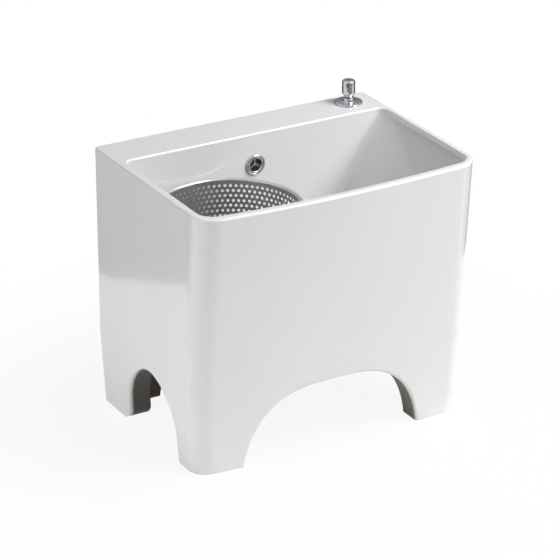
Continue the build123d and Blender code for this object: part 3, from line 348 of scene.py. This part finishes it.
class Paint:
    """A material, or a world, as it is put together."""

    def __init__(self, owner, place="Object"):
        self.owner = owner
        self.owner.use_nodes = True
        self.tree = self.owner.node_tree
        self.tree.nodes.clear()
        self.place = self.node("ShaderNodeTexCoord", output=place)

    def node(self, kind, settings=None, values=None, output=0):
        """Adds a node, sets it first, then its sockets from numbers or other fields."""
        made = self.tree.nodes.new(kind)
        for name, value in (settings or {}).items():
            setattr(made, name, value)
        for name, value in (values or {}).items():
            if isinstance(value, Field):
                self.tree.links.new(value.socket, made.inputs[name])
            else:
                made.inputs[name].default_value = value
        return Field(self, made.outputs[output]) if made.outputs else made

    def noise(self, scale, detail=2.0, roughness=0.5, stretch=(1, 1, 1)):
        """Noise on the object's own coordinates, in features per metre, stretched if asked."""
        place = self.node("ShaderNodeMapping", None, {"Vector": self.place, "Scale": stretch})
        values = {"Vector": place, "Scale": scale, "Detail": detail, "Roughness": roughness}
        return self.node("ShaderNodeTexNoise", None, values)

    def axis(self, name):
        """One of the object's own coordinates, in metres."""
        return self.node("ShaderNodeSeparateXYZ", None, {0: self.place}, output=name)

    def blend(self, share, first, second):
        """A colour between two others."""
        return self.node(
            "ShaderNodeMix", {"data_type": "RGBA"},
            {0: share, 6: self.colour(first), 7: self.colour(second)}, output=2,
        )

    @staticmethod
    def colour(value):
        """A colour as a socket takes it."""
        return value if isinstance(value, Field) else (*value[:3], 1)

    def bump(self, height, depth, strength=1.0):
        """A surface normal from a height of 0 to 1 and its depth in metres."""
        return self.node(
            "ShaderNodeBump", None, {"Height": height, "Distance": depth, "Strength": strength}
        )

    def finish(self, **sockets):
        """Ends in a Principled shader with these sockets; underscores stand for spaces."""
        values = {name.replace("_", " "): value for name, value in sockets.items()}
        shader = self.node("ShaderNodeBsdfPrincipled", None, values)
        self.node("ShaderNodeOutputMaterial", None, {"Surface": shader})
        return self.owner


def depth_in_body(paint):
    """How deep a point of the feet and the leg band lies behind the body's outer form."""
    across = paint.axis("X")
    height = paint.axis("Z")
    below = 1 - (height / FOOT_HEIGHT).least(1)
    above = ((height - FOOT_HEIGHT) / (BODY_HIGH.z - FOOT_HEIGHT)).most(0)
    leg_lean = FRONT_LEAN_FLOOR - FRONT_LEAN_FOOT
    lean = FRONT_LEAN_FOOT - above * FRONT_LEAN_FOOT + below * leg_lean
    bow = FRONT_BOW - across * across * (FRONT_BOW / BODY_HIGH.x ** 2)
    from_side = BODY_HIGH.x - below * SIDE_TAPER - across.size()
    from_front = paint.axis("Y") - (BODY_LOW.y + FRONT_BOW) - lean + bow
    sideways, forwards = CORNER_RADIUS - from_side, CORNER_RADIUS - from_front
    out, ahead = sideways.most(0), forwards.most(0)
    reach = out * out + ahead * ahead
    from_centre = reach.maths("SQRT", reach) + sideways.most(forwards).least(0)
    return (CORNER_RADIUS - from_centre).least(BODY_HIGH.y - paint.axis("Y"))


def whiteware():
    """White glaze with deep gloss and faint waves; inside and under the feet, unglazed clay
    painted dark as painted shade.
    """
    looks = bpy.context.scene.sink_looks
    paint = Paint(bpy.data.materials.new("whiteware"))
    tint = paint.noise(5, 3).step(0.35, 0.7)
    white = tuple(looks.glaze)
    warm = tuple(a * b for a, b in zip(white, (0.985, 0.98, 0.965)))
    glaze = paint.blend(tint, white, warm)
    speck = paint.node("ShaderNodeTexVoronoi", None, {"Vector": paint.place, "Scale": 120.0})
    fleck = 1 - speck.step(0.012, 0.03)
    glaze = paint.blend(fleck * 0.12, glaze, (0.45, 0.42, 0.38))
    cloud = paint.noise(18, 5, 0.6)
    grit = paint.noise(700, 4, 0.65)
    # The clay's colour is dark as painted shade; its lighter clouds and grit are the clay's own
    # texture
    dull = tuple(looks.clay_and_shade)
    pale = tuple(min(1, value * 1.5) for value in dull)
    clay_in_shade = paint.blend(cloud * 0.7 + grit * 0.3, dull, pale)
    # Painted shade: the dark clay takes over with depth behind the outer form, only below the
    # bay's underside, and covers the sole; the same mask makes the bare clay rough and unglazed
    ragged_shade_depth = depth_in_body(paint) + (cloud - 0.5) * 3 * MM
    under_bay = 1 - paint.axis("Z").step(BAY_UNDERSIDE - UNDERSIDE_FADE, BAY_UNDERSIDE)
    sole = 1 - paint.axis("Z").step(SOLE_IS_BARE, SOLE_ENDS)
    bare_and_shaded = (ragged_shade_depth.step(CLAY_SHADE_BEGINS, CLAY_SHADE_FULL) * under_bay).most(sole)
    waves = paint.noise(28, 2) * 0.9 + paint.noise(160, 2) * 0.1
    return paint.finish(
        Base_Color=paint.blend(bare_and_shaded, glaze, clay_in_shade),
        Roughness=paint.noise(12, 4) * 0.05 + 0.14 + bare_and_shaded * 0.6,
        IOR=1.5,
        Coat_Weight=(1 - bare_and_shaded) * 0.7,
        Coat_Roughness=0.06,
        Normal=paint.bump(waves * (1 - bare_and_shaded) + grit * bare_and_shaded, 0.25 * MM, 0.5),
    )


def satin_steel():
    """Stainless sheet, brushed round the basket."""
    looks = bpy.context.scene.sink_looks
    paint = Paint(bpy.data.materials.new("satin_steel"))
    grain = paint.noise(60, 5, 0.7, stretch=(0.4, 0.4, 40))
    cloud = paint.noise(14, 3)
    bright = tuple(looks.steel)
    dark = tuple(value * 0.78 for value in bright)
    return paint.finish(
        Base_Color=paint.blend(grain * 0.6 + cloud * 0.4, dark, bright),
        Metallic=1.0,
        Roughness=grain * 0.16 + cloud * 0.06 + 0.24,
        Normal=paint.bump(grain, 0.02 * MM, 0.4),
    )


def polished_chrome():
    """Bright chrome plate with the faint haze of handling."""
    looks = bpy.context.scene.sink_looks
    paint = Paint(bpy.data.materials.new("polished_chrome"))
    haze = paint.noise(90, 4, 0.6)
    bright = tuple(looks.chrome)
    dull = tuple(value * 0.88 for value in bright)
    return paint.finish(
        Base_Color=paint.blend(haze, bright, dull),
        Metallic=1.0,
        Roughness=haze * 0.05 + 0.04,
        Normal=paint.bump(haze, 0.004 * MM, 0.2),
    )


def zinc_steel():
    """Plated steel of the hidden rods, nuts and washers."""
    paint = Paint(bpy.data.materials.new("zinc_steel"))
    spangle = paint.noise(120, 5, 0.6)
    return paint.finish(
        Base_Color=paint.blend(spangle, (0.45, 0.46, 0.47), (0.66, 0.67, 0.67)),
        Metallic=1.0,
        Roughness=spangle * 0.2 + 0.22,
        Normal=paint.bump(spangle, 0.02 * MM, 0.4),
    )


def bearing_steel():
    """Ground and polished steel."""
    paint = Paint(bpy.data.materials.new("bearing_steel"))
    ground = paint.noise(300, 3, 0.6, stretch=(1, 1, 8))
    return paint.finish(
        Base_Color=paint.blend(ground, (0.60, 0.60, 0.62), (0.72, 0.72, 0.73)),
        Metallic=1.0,
        Roughness=ground * 0.08 + 0.09,
        Normal=paint.bump(ground, 0.006 * MM, 0.3),
    )


def moulded_plastic(name, pale, dark, rough):
    """Moulded plastic with a fine spark-eroded texture."""
    paint = Paint(bpy.data.materials.new(name))
    texture = paint.noise(1400, 2, 0.5)
    cloud = paint.noise(22, 3)
    return paint.finish(
        Base_Color=paint.blend(cloud, pale, dark),
        Roughness=texture * 0.12 + rough,
        Normal=paint.bump(texture, 0.05 * MM, 0.35),
    )


def black_rubber():
    """Moulded rubber of the seals, with a pale bloom."""
    paint = Paint(bpy.data.materials.new("black_rubber"))
    bloom = paint.noise(60, 4, 0.6).step(0.45, 0.75)
    texture = paint.noise(900, 3, 0.6)
    return paint.finish(
        Base_Color=paint.blend(bloom, (0.022, 0.022, 0.024), (0.05, 0.05, 0.052)),
        Roughness=texture * 0.2 + 0.55,
        Normal=paint.bump(texture, 0.06 * MM, 0.4),
    )


def make_materials():
    """One finish for each slot of the record."""
    grey = "grey_plastic", (0.13, 0.135, 0.14), (0.10, 0.105, 0.11), 0.42
    white = "white_plastic", (0.72, 0.72, 0.70), (0.66, 0.66, 0.64), 0.3
    return {
        "white_glaze": whiteware(),
        "satin_steel": satin_steel(),
        "chrome_plate": polished_chrome(),
        "zinc_steel": zinc_steel(),
        "bearing_steel": bearing_steel(),
        "grey_plastic": moulded_plastic(*grey),
        "white_plastic": moulded_plastic(*white),
        "black_rubber": black_rubber(),
    }


def slot_of(node):
    """The record's material slot of a construction node."""
    for entry in frame["record"]["subparts"]:
        if entry["node"] == node:
            return entry["material_slot"]
    raise RuntimeError(f"the record has no slot for {node}")


def linked(name, work):
    """An object of the scene, made from a bmesh, which is freed."""
    mesh = bpy.data.meshes.new(name)
    work.to_mesh(mesh)
    work.free()
    made = bpy.data.objects.new(name, mesh)
    bpy.context.scene.collection.objects.link(made)
    return made


def new_piece(name, work, body, slot, *nodes):
    """Links a finished bmesh as a piece that rides on a body and stands for nodes."""
    piece = linked(name, work)
    piece.data.materials.append(MATERIALS[slot])
    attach(piece, body)
    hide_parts(*nodes)
    return piece


def smooth_by_angle(work, angle):
    """Smooth faces, with open edges and those that turn by more than the angle kept sharp."""
    for face in work.faces:
        face.smooth = True
    for edge in work.edges:
        if len(edge.link_faces) == 2:
            edge.smooth = edge.calc_face_angle(0) < angle
        else:
            edge.smooth = False


def join(work, other):
    """Adds one bmesh to another and frees it."""
    mesh = bpy.data.meshes.new("joined")
    other.to_mesh(mesh)
    other.free()
    work.from_mesh(mesh)
    bpy.data.meshes.remove(mesh)


def copy_of(node):
    """A construction node's mesh, merged, as a bmesh of its own."""
    work = bmesh.new()
    work.from_mesh(frame["nodes"][node].data)
    bmesh.ops.remove_doubles(work, verts=work.verts, dist=NODE_MERGE)
    bmesh.ops.dissolve_degenerate(work, edges=work.edges, dist=NODE_SLIVER)
    return work


def spin_round(work, geom, steps):
    """Spins a profile once round Z and closes it."""
    bmesh.ops.spin(
        work, geom=geom, cent=(0, 0, 0), axis=(0, 0, 1),
        angle=math.tau, steps=steps, use_merge=True,
    )


def round_off(work, edges, width, segments):
    """Rounds edges to a width."""
    bmesh.ops.bevel(
        work, geom=edges, offset=width, offset_type="OFFSET", segments=segments,
        affect="EDGES", profile=0.5, material=-1, clamp_overlap=True,
    )


def on_ring(vert, radius, height):
    """Whether a point lies at a radius and height of a lathe form."""
    return max(abs(vert.co.z - height), abs(vert.co.xy.length - radius)) < LATHE_MERGE


def turned(points, rounded, steps=LATHE_STEPS):
    """A lathe form round Z from (radius, height) points, with some of its rings rounded.

    rounded gives a point's index with the rounding's width and its segments.
    """
    work = bmesh.new()
    verts = [work.verts.new((radius, 0, height)) for radius, height in points]
    edges = [work.edges.new(pair) for pair in zip(verts, verts[1:])]
    if points[0][0] > 0 and points[-1][0] > 0:
        edges.append(work.edges.new((verts[-1], verts[0])))
    spin_round(work, verts + edges, steps)
    bmesh.ops.remove_doubles(work, verts=work.verts, dist=LATHE_MERGE)
    bmesh.ops.recalc_face_normals(work, faces=work.faces)
    for index, (width, segments) in rounded.items():
        ring = [
            edge for edge in work.edges
            if all(on_ring(vert, *points[index]) for vert in edge.verts)
        ]
        round_off(work, ring, width, segments)
    return work


def chromed(name, work, place, body, node):
    """Moves a turned form to its place and links it as a chromed piece."""
    bmesh.ops.translate(work, verts=work.verts, vec=place)
    smooth_by_angle(work, TURNED_CREASE)
    new_piece(name, work, body, "chrome_plate", node)


class SINK_OT_body(bpy.types.Operator):
    """Glazed body: the construction's shell, merged and smoothed"""

    bl_idname = "sink.body"
    bl_label = "Body"

    def execute(self, context):
        work = copy_of("basin_body")
        smooth_by_angle(work, BODY_CREASE)
        piece = new_piece("body_glazed", work, "sink", "white_glaze", "basin_body")
        weighted = piece.modifiers.new("weighted", "WEIGHTED_NORMAL")
        weighted.keep_sharp = True
        weighted.weight = 80
        return {"FINISHED"}


class Bowl:
    """The basket's outer form: how far out and how high a point along its sheet lies."""

    def __init__(self, sizes):
        rim = (BASKET_HIGH.x - BASKET_LOW.x) / 2
        self.bead_centre = rim - sizes.bead_radius
        self.top = rim - 2 * sizes.bead_radius + sizes.wall
        self.top_height = BASKET_HIGH.z - sizes.bead_radius
        foot = rim - sizes.taper
        rise = self.top_height - BASKET_LOW.z
        self.bend = sizes.bend
        self.lean = math.atan2(self.top - foot, rise)
        self.turn = math.pi / 2 - self.lean
        self.wall_length = math.hypot(self.top - foot, rise) - self.bend * math.tan(self.turn / 2)
        self.bend_length = self.bend * self.turn

    def point(self, along):
        """Distance from the axis, and height, at a distance along the sheet from the rim."""
        wall = min(along, self.wall_length)
        out = self.top - wall * math.sin(self.lean)
        height = self.top_height - wall * math.cos(self.lean)
        bent = self.lean + min(max(along - self.wall_length, 0) / self.bend, self.turn)
        out += self.bend * (math.cos(bent) - math.cos(self.lean))
        height -= self.bend * (math.sin(bent) - math.sin(self.lean))
        return out - max(along - self.wall_length - self.bend_length, 0), height


class SINK_OT_basket(bpy.types.Operator):
    """Spin basket: a flat sheet of punched cells, bent into a bowl, with a rolled rim"""

    bl_idname = "sink.basket"
    bl_label = "Basket"

    def execute(self, context):
        sizes = context.scene.sink_basket
        bowl = Bowl(sizes)
        self.pattern_turn = sizes.pattern_turn
        self.girth = math.tau * bowl.top
        self.cell = self.girth / sizes.holes_round
        work = bmesh.new()
        top_row = (sizes.first_row - sizes.bead_radius) / math.cos(bowl.lean)
        wall_rows = [top_row + row * sizes.row_pitch for row in range(sizes.rows)]
        floor_start = bowl.wall_length + bowl.bend_length + sizes.bend / 4
        outer_row = floor_start + sizes.floor_pitch / 2
        floor_rows = [outer_row + row * sizes.floor_pitch for row in range(sizes.floor_rows)]
        wall_end = wall_rows[-1] + sizes.row_pitch / 2
        floor_end = floor_rows[-1] + sizes.floor_pitch / 2
        sheet_end = floor_start + bowl.point(floor_start)[0] - sizes.centre_hole
        self.plain_band(work, 0, wall_rows[0] - sizes.row_pitch / 2, 2)
        hole, pitch = sizes.hole_radius, sizes.row_pitch
        for row, along in enumerate(wall_rows):
            self.punched_row(work, bowl, along, pitch, hole, row % 2)
        self.plain_band(work, wall_end, floor_start, 8)
        hole, pitch = sizes.floor_hole_radius, sizes.floor_pitch
        for row, along in enumerate(floor_rows):
            self.punched_row(work, bowl, along, pitch, hole, row % 2)
        self.plain_band(work, floor_end, sheet_end, 4)
        self.roll_up(work, bowl)
        self.thicken(work, sizes.wall)
        self.rolled_rim(work, bowl, sizes.bead_radius)
        smooth_by_angle(work, TURNED_CREASE)
        bmesh.ops.translate(work, verts=work.verts, vec=(BASKET_AXIS.x, BASKET_AXIS.y, 0))
        new_piece("basket_punched", work, "basket", "satin_steel", "basket_shell")
        return {"FINISHED"}

    def plain_band(self, work, start, end, steps):
        """A band without holes; its columns meet the four on each side of a cell."""
        place = Matrix.Translation((self.girth / 2, -(start + end) / 2, 0))
        size = Matrix.Diagonal((self.girth, end - start, 1, 1))
        columns = CELL_SIDES * round(self.girth / self.cell)
        bmesh.ops.create_grid(
            work, x_segments=columns, y_segments=steps, size=0.5, matrix=place @ size,
        )

    def punched_row(self, work, bowl, along, pitch, hole, shifted):
        """A row of cells, each a hole bridged to its square; odd rows stand half a cell on."""
        stretch = bowl.top / bowl.point(along)[0]
        start = Matrix.Translation((self.cell * (1 + shifted) / 2, -along, 0))
        row = bmesh.new()
        square = bmesh.ops.create_grid(
            row, x_segments=CELL_SIDES, y_segments=CELL_SIDES, size=0.5,
            matrix=start @ Matrix.Diagonal((self.cell, pitch, 1, 1)),
        )
        inner = [vert for vert in square["verts"] if not vert.is_boundary]
        bmesh.ops.delete(row, geom=inner, context="VERTS")
        bmesh.ops.create_circle(
            row, segments=HOLE_SIDES, radius=1,
            matrix=start @ Matrix.Diagonal((hole * stretch, hole, 1, 1)),
        )
        bmesh.ops.bridge_loops(row, edges=row.edges)
        cell = row.verts[:] + row.edges[:] + row.faces[:]
        for place in range(1, round(self.girth / self.cell)):
            copy = bmesh.ops.duplicate(row, geom=cell)["geom"]
            verts = [part for part in copy if isinstance(part, bmesh.types.BMVert)]
            bmesh.ops.translate(row, verts=verts, vec=(place * self.cell, 0, 0))
        join(work, row)

    def roll_up(self, work, bowl):
        """Bends the flat sheet round the axis and closes its seam."""
        for vert in work.verts:
            out, height = bowl.point(-vert.co.y)
            angle = self.pattern_turn + math.tau * vert.co.x / self.girth
            vert.co = (out * math.cos(angle), out * math.sin(angle), height)
        bmesh.ops.remove_doubles(work, verts=work.verts, dist=SEAM_MERGE)

    def thicken(self, work, wall):
        """Gives the sheet its thickness, inwards from the form's outside."""
        bmesh.ops.recalc_face_normals(work, faces=work.faces)
        side = max(work.faces, key=lambda face: face.calc_center_median().z)
        outwards = side.normal.xy.dot(side.calc_center_median().xy) > 0
        if not outwards:
            bmesh.ops.reverse_faces(work, faces=work.faces)
        bmesh.ops.solidify(work, geom=work.faces, thickness=wall)

    def rolled_rim(self, work, bowl, radius):
        """The sheet's edge, rolled into a bead round the top."""
        upright = Matrix.Rotation(math.pi / 2, 4, "X")
        place = Matrix.Translation((bowl.bead_centre, 0, bowl.top_height))
        bead = bmesh.ops.create_circle(
            work, segments=BEAD_SIDES, radius=radius, matrix=place @ upright,
        )
        edges = {edge for vert in bead["verts"] for edge in vert.link_edges}
        spin_round(work, bead["verts"] + list(edges), RIM_STEPS)


class SINK_OT_knob(bpy.types.Operator):
    """Lift knob and its round plate on the ledge"""

    bl_idname = "sink.knob"
    bl_label = "Knob and plate"

    def execute(self, context):
        place = (KNOB_AXIS.x, KNOB_AXIS.y, 0)
        chromed("knob_turned", self.knob(), place, "knob", "lift_knob")
        chromed("plate_turned", self.plate(), place, "sink", "lift_escutcheon")
        return {"FINISHED"}

    def knob(self):
        """A rounded button on a waist, with a blind bore for the rod."""
        radius = (KNOB_HIGH.x - KNOB_LOW.x) / 2
        foot, top = KNOB_LOW.z, KNOB_HIGH.z
        waist, shoulder = foot + 2.8 * MM, foot + 5.2 * MM
        bore, bore_end = 2.6 * MM, foot + 16 * MM
        points = [
            (bore, foot), (7.6 * MM, foot), (8.2 * MM, waist), (radius, shoulder),
            (radius, top), (0, top), (0, bore_end), (bore, bore_end),
        ]
        rounded = {4: (3.0 * MM, 6), 3: (1.2 * MM, 4), 2: (1.6 * MM, 4), 1: (1.4 * MM, 4)}
        return turned(points, rounded)

    def plate(self):
        """A thin round plate that rises to a collar."""
        radius = (PLATE_HIGH.x - PLATE_LOW.x) / 2
        low, high = PLATE_LOW.z, PLATE_HIGH.z
        face = low + 2.2 * MM
        collar, bore = 8.8 * MM, 3.0 * MM
        points = [
            (bore, low), (radius, low), (radius, low + 1.0 * MM), (radius - 2.4 * MM, face),
            (collar + 1.4 * MM, face), (collar, face + 1.2 * MM), (collar, high), (bore, high),
        ]
        rounded = {2: (0.5 * MM, 3), 3: (1.2 * MM, 4), 4: (0.6 * MM, 3), 6: (0.8 * MM, 4)}
        return turned(points, rounded)


class SINK_OT_overflow(bpy.types.Operator):
    """Overflow ring with a rounded lip, three plain bars and a round hub"""

    bl_idname = "sink.overflow"
    bl_label = "Overflow ring"

    def execute(self, context):
        radius = (RING_HIGH.x - RING_LOW.x) / 2
        stand = 3.6 * MM
        neck = (RING_HIGH.y - RING_LOW.y) - stand
        neck_radius, bore = 12.6 * MM, 10.0 * MM
        points = [
            (neck_radius, -neck), (neck_radius, 0), (radius, 0), (radius, stand * 0.55),
            (radius - 2.6 * MM, stand), (bore + 1.3 * MM, stand),
            (bore, stand * 0.45), (bore, -neck),
        ]
        rounded = {3: (0.9 * MM, 4), 4: (1.5 * MM, 5), 5: (0.9 * MM, 4), 6: (0.8 * MM, 3)}
        work = turned(points, rounded)
        join(work, self.bars(bore))
        to_front = Matrix.Rotation(math.pi / 2, 3, "X")
        bmesh.ops.rotate(work, verts=work.verts, cent=(0, 0, 0), matrix=to_front)
        centre = middle("overflow_ring")
        place = (centre.x, RING_LOW.y + stand, centre.z)
        chromed("overflow_turned", work, place, "sink", "overflow_ring")
        return {"FINISHED"}

    def bars(self, bore):
        """Three bars from the bore to a low domed hub, set back in the ring."""
        count = 3
        face, thickness = -0.9 * MM, 1.6 * MM
        back = face - thickness
        hub_radius, dome, rounding = 2.6 * MM, 0.5 * MM, 0.5 * MM
        width, length = 2.4 * MM, bore + 0.6 * MM
        points = [(0, back), (hub_radius, back), (hub_radius, face), (0, face + dome)]
        work = turned(points, {2: (rounding, 3)}, steps=HUB_STEPS)
        size = Matrix.Diagonal((width, length, thickness, 1))
        place = Matrix.Translation((0, length / 2, face - thickness / 2))
        for bar in range(count):
            turn = Matrix.Rotation(bar * math.tau / count, 4, "Z")
            made = bmesh.ops.create_cube(work, size=1, matrix=turn @ place @ size)
            edges = {edge for vert in made["verts"] for edge in vert.link_edges}
            round_off(work, list(edges), rounding, 3)
        return work


class SINK_OT_fittings(bpy.types.Operator):
    """The other construction nodes: those in sight get soft edges, and all get their finish"""

    bl_idname = "sink.fittings"
    bl_label = "Fittings"

    def execute(self, context):
        for node, source in frame["nodes"].items():
            slot = slot_of(node)
            if node in SOFT_EDGES:
                self.softened(node, source["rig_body"], slot, SOFT_EDGES[node])
            elif node not in REMODELLED:
                source.material_slots[0].material = MATERIALS[slot]
        return {"FINISHED"}

    def softened(self, node, body, slot, width):
        """A merged and smoothed copy of a node with its edges rounded."""
        work = copy_of(node)
        smooth_by_angle(work, FITTING_CREASE)
        piece = new_piece(f"{node}_finished", work, body, slot, node)
        edges = piece.modifiers.new("soft_edges", "BEVEL")
        edges.width = width
        edges.segments = 2
        edges.limit_method = "ANGLE"
        edges.angle_limit = SOFT_EDGE_CREASE
        edges.harden_normals = True


class SINK_OT_stage(bpy.types.Operator):
    """Pale floor, soft lights and the camera at the photograph's angle"""

    bl_idname = "sink.stage"
    bl_label = "Stage"

    def execute(self, context):
        self.floor()
        self.world(context.scene)
        for lamp in LAMPS:
            self.lamp(*lamp)
        self.camera(context.scene, context.scene.sink_stage)
        context.scene.view_settings.view_transform = "Standard"
        return {"FINISHED"}

    def floor(self):
        """A round pale floor that keeps the sink's shadow and fades to plain white at its edge."""
        work = bmesh.new()
        bmesh.ops.create_circle(work, cap_ends=True, segments=FLOOR_SIDES, radius=FLOOR_RADIUS)
        floor = linked("floor", work)
        paint = Paint(bpy.data.materials.new("floor_paint"))
        out = paint.node(
            "ShaderNodeVectorMath", {"operation": "LENGTH"}, {0: paint.place}, output="Value",
        )
        matt = paint.node("ShaderNodeBsdfDiffuse", None, {"Color": FLOOR_COLOUR})
        glow = paint.node("ShaderNodeEmission", None, {"Color": WHITE, "Strength": 1.0})
        seen = paint.node("ShaderNodeLightPath", output="Is Camera Ray")
        mirrored = paint.node("ShaderNodeLightPath", output="Is Glossy Ray")
        edge = out.step(*FLOOR_FADE)
        white = (seen + mirrored) * (edge * (1 - FLOOR_WHITENESS) + FLOOR_WHITENESS)
        surface = paint.node("ShaderNodeMixShader", None, {0: white, 1: matt, 2: glow})
        paint.node("ShaderNodeOutputMaterial", None, {"Surface": surface})
        floor.data.materials.append(paint.owner)

    def world(self, scene):
        """White behind the sink; in its gloss, a dim room with pale cards that draw the metal."""
        scene.world = bpy.data.worlds.new("studio")
        paint = Paint(scene.world, "Generated")
        right, rise = paint.axis("X"), paint.axis("Z")
        around = right.maths("ARCTAN2", right, 0 - paint.axis("Y"))
        overhead = rise.step(*OVERHEAD) * OVERHEAD_IN_GLOSS
        underfoot = 1 - rise.step(*UNDERFOOT)
        mirrored = overhead + underfoot + ROOM_IN_GLOSS
        for turn, full, gone, share in CARDS:
            mirrored = mirrored + (around - turn).size().step(gone, full) * share
        from_below = (1 - rise.step(*HORIZON)) * LIGHT_FROM_BELOW
        camera = paint.node("ShaderNodeLightPath", output="Is Camera Ray")
        glossy = paint.node("ShaderNodeLightPath", output="Is Glossy Ray")
        strength = mirrored.least(1) * glossy + (from_below + ROOM_LIGHT) * (1 - glossy)
        room = paint.node(
            "ShaderNodeBackground", None, {"Color": ROOM_COLOUR, "Strength": strength},
        )
        white = paint.node("ShaderNodeBackground", None, {"Color": WHITE, "Strength": 1.0})
        seen = paint.node("ShaderNodeMixShader", None, {0: camera, 1: room, 2: white})
        paint.node("ShaderNodeOutputWorld", None, {"Surface": seen})

    def lamp(self, name, place, size, power, in_gloss):
        """A square lamp that faces the sink."""
        data = bpy.data.lights.new(name, "AREA")
        data.shape = "SQUARE"
        data.size = size
        data.energy = power
        lamp = bpy.data.objects.new(name, data)
        bpy.context.scene.collection.objects.link(lamp)
        lamp.visible_glossy = in_gloss
        lamp.location = place
        lamp.rotation_mode = "QUATERNION"
        lamp.rotation_quaternion = (LAMP_TARGET - Vector(place)).to_track_quat("-Z", "Y")

    def camera(self, scene, settings):
        """The camera, from its turn, rise and distance round its target."""
        data = bpy.data.cameras.new("camera")
        data.lens = settings.lens
        data.sensor_width = FRAME_WIDTH
        data.clip_start, data.clip_end = NEAR, FAR
        camera = bpy.data.objects.new("camera", data)
        scene.collection.objects.link(camera)
        turn, level = settings.azimuth, math.cos(settings.elevation)
        rise = math.sin(settings.elevation)
        back = Vector((math.sin(turn) * level, -math.cos(turn) * level, rise))
        camera.location = Vector(settings.target) + back * settings.distance
        camera.rotation_mode = "QUATERNION"
        camera.rotation_quaternion = (-back).to_track_quat("-Z", "Y")
        scene.camera = camera


class SINK_PT_panel(bpy.types.Panel):
    """Settings and steps of the mop sink"""

    bl_label = "Mop Sink"
    bl_idname = "SINK_PT_panel"
    bl_space_type = "VIEW_3D"
    bl_region_type = "UI"
    bl_category = "Mop Sink"

    def draw(self, context):
        for place, kind in GROUPS.items():
            box = self.layout.box()
            for name in kind.__annotations__:
                box.prop(getattr(context.scene, place), name)
        for step in STEPS:
            self.layout.operator(step.bl_idname)


GROUPS = {"sink_looks": SinkLooks, "sink_basket": BasketSizes, "sink_stage": StageSettings}
STEPS = (
    SINK_OT_body, SINK_OT_basket, SINK_OT_knob,
    SINK_OT_overflow, SINK_OT_fittings, SINK_OT_stage,
)
MATERIALS = {}


def register():
    for kind in (*GROUPS.values(), *STEPS, SINK_PT_panel):
        bpy.utils.register_class(kind)
    for name, kind in GROUPS.items():
        setattr(bpy.types.Scene, name, bpy.props.PointerProperty(type=kind))


def unregister():
    for name in GROUPS:
        delattr(bpy.types.Scene, name)
    for kind in reversed((*GROUPS.values(), *STEPS, SINK_PT_panel)):
        bpy.utils.unregister_class(kind)


def main():
    register()
    MATERIALS.update(make_materials())
    bpy.ops.sink.body()
    bpy.ops.sink.basket()
    bpy.ops.sink.knob()
    bpy.ops.sink.overflow()
    bpy.ops.sink.fittings()
    bpy.ops.sink.stage()


if __name__ == "__main__":
    main()
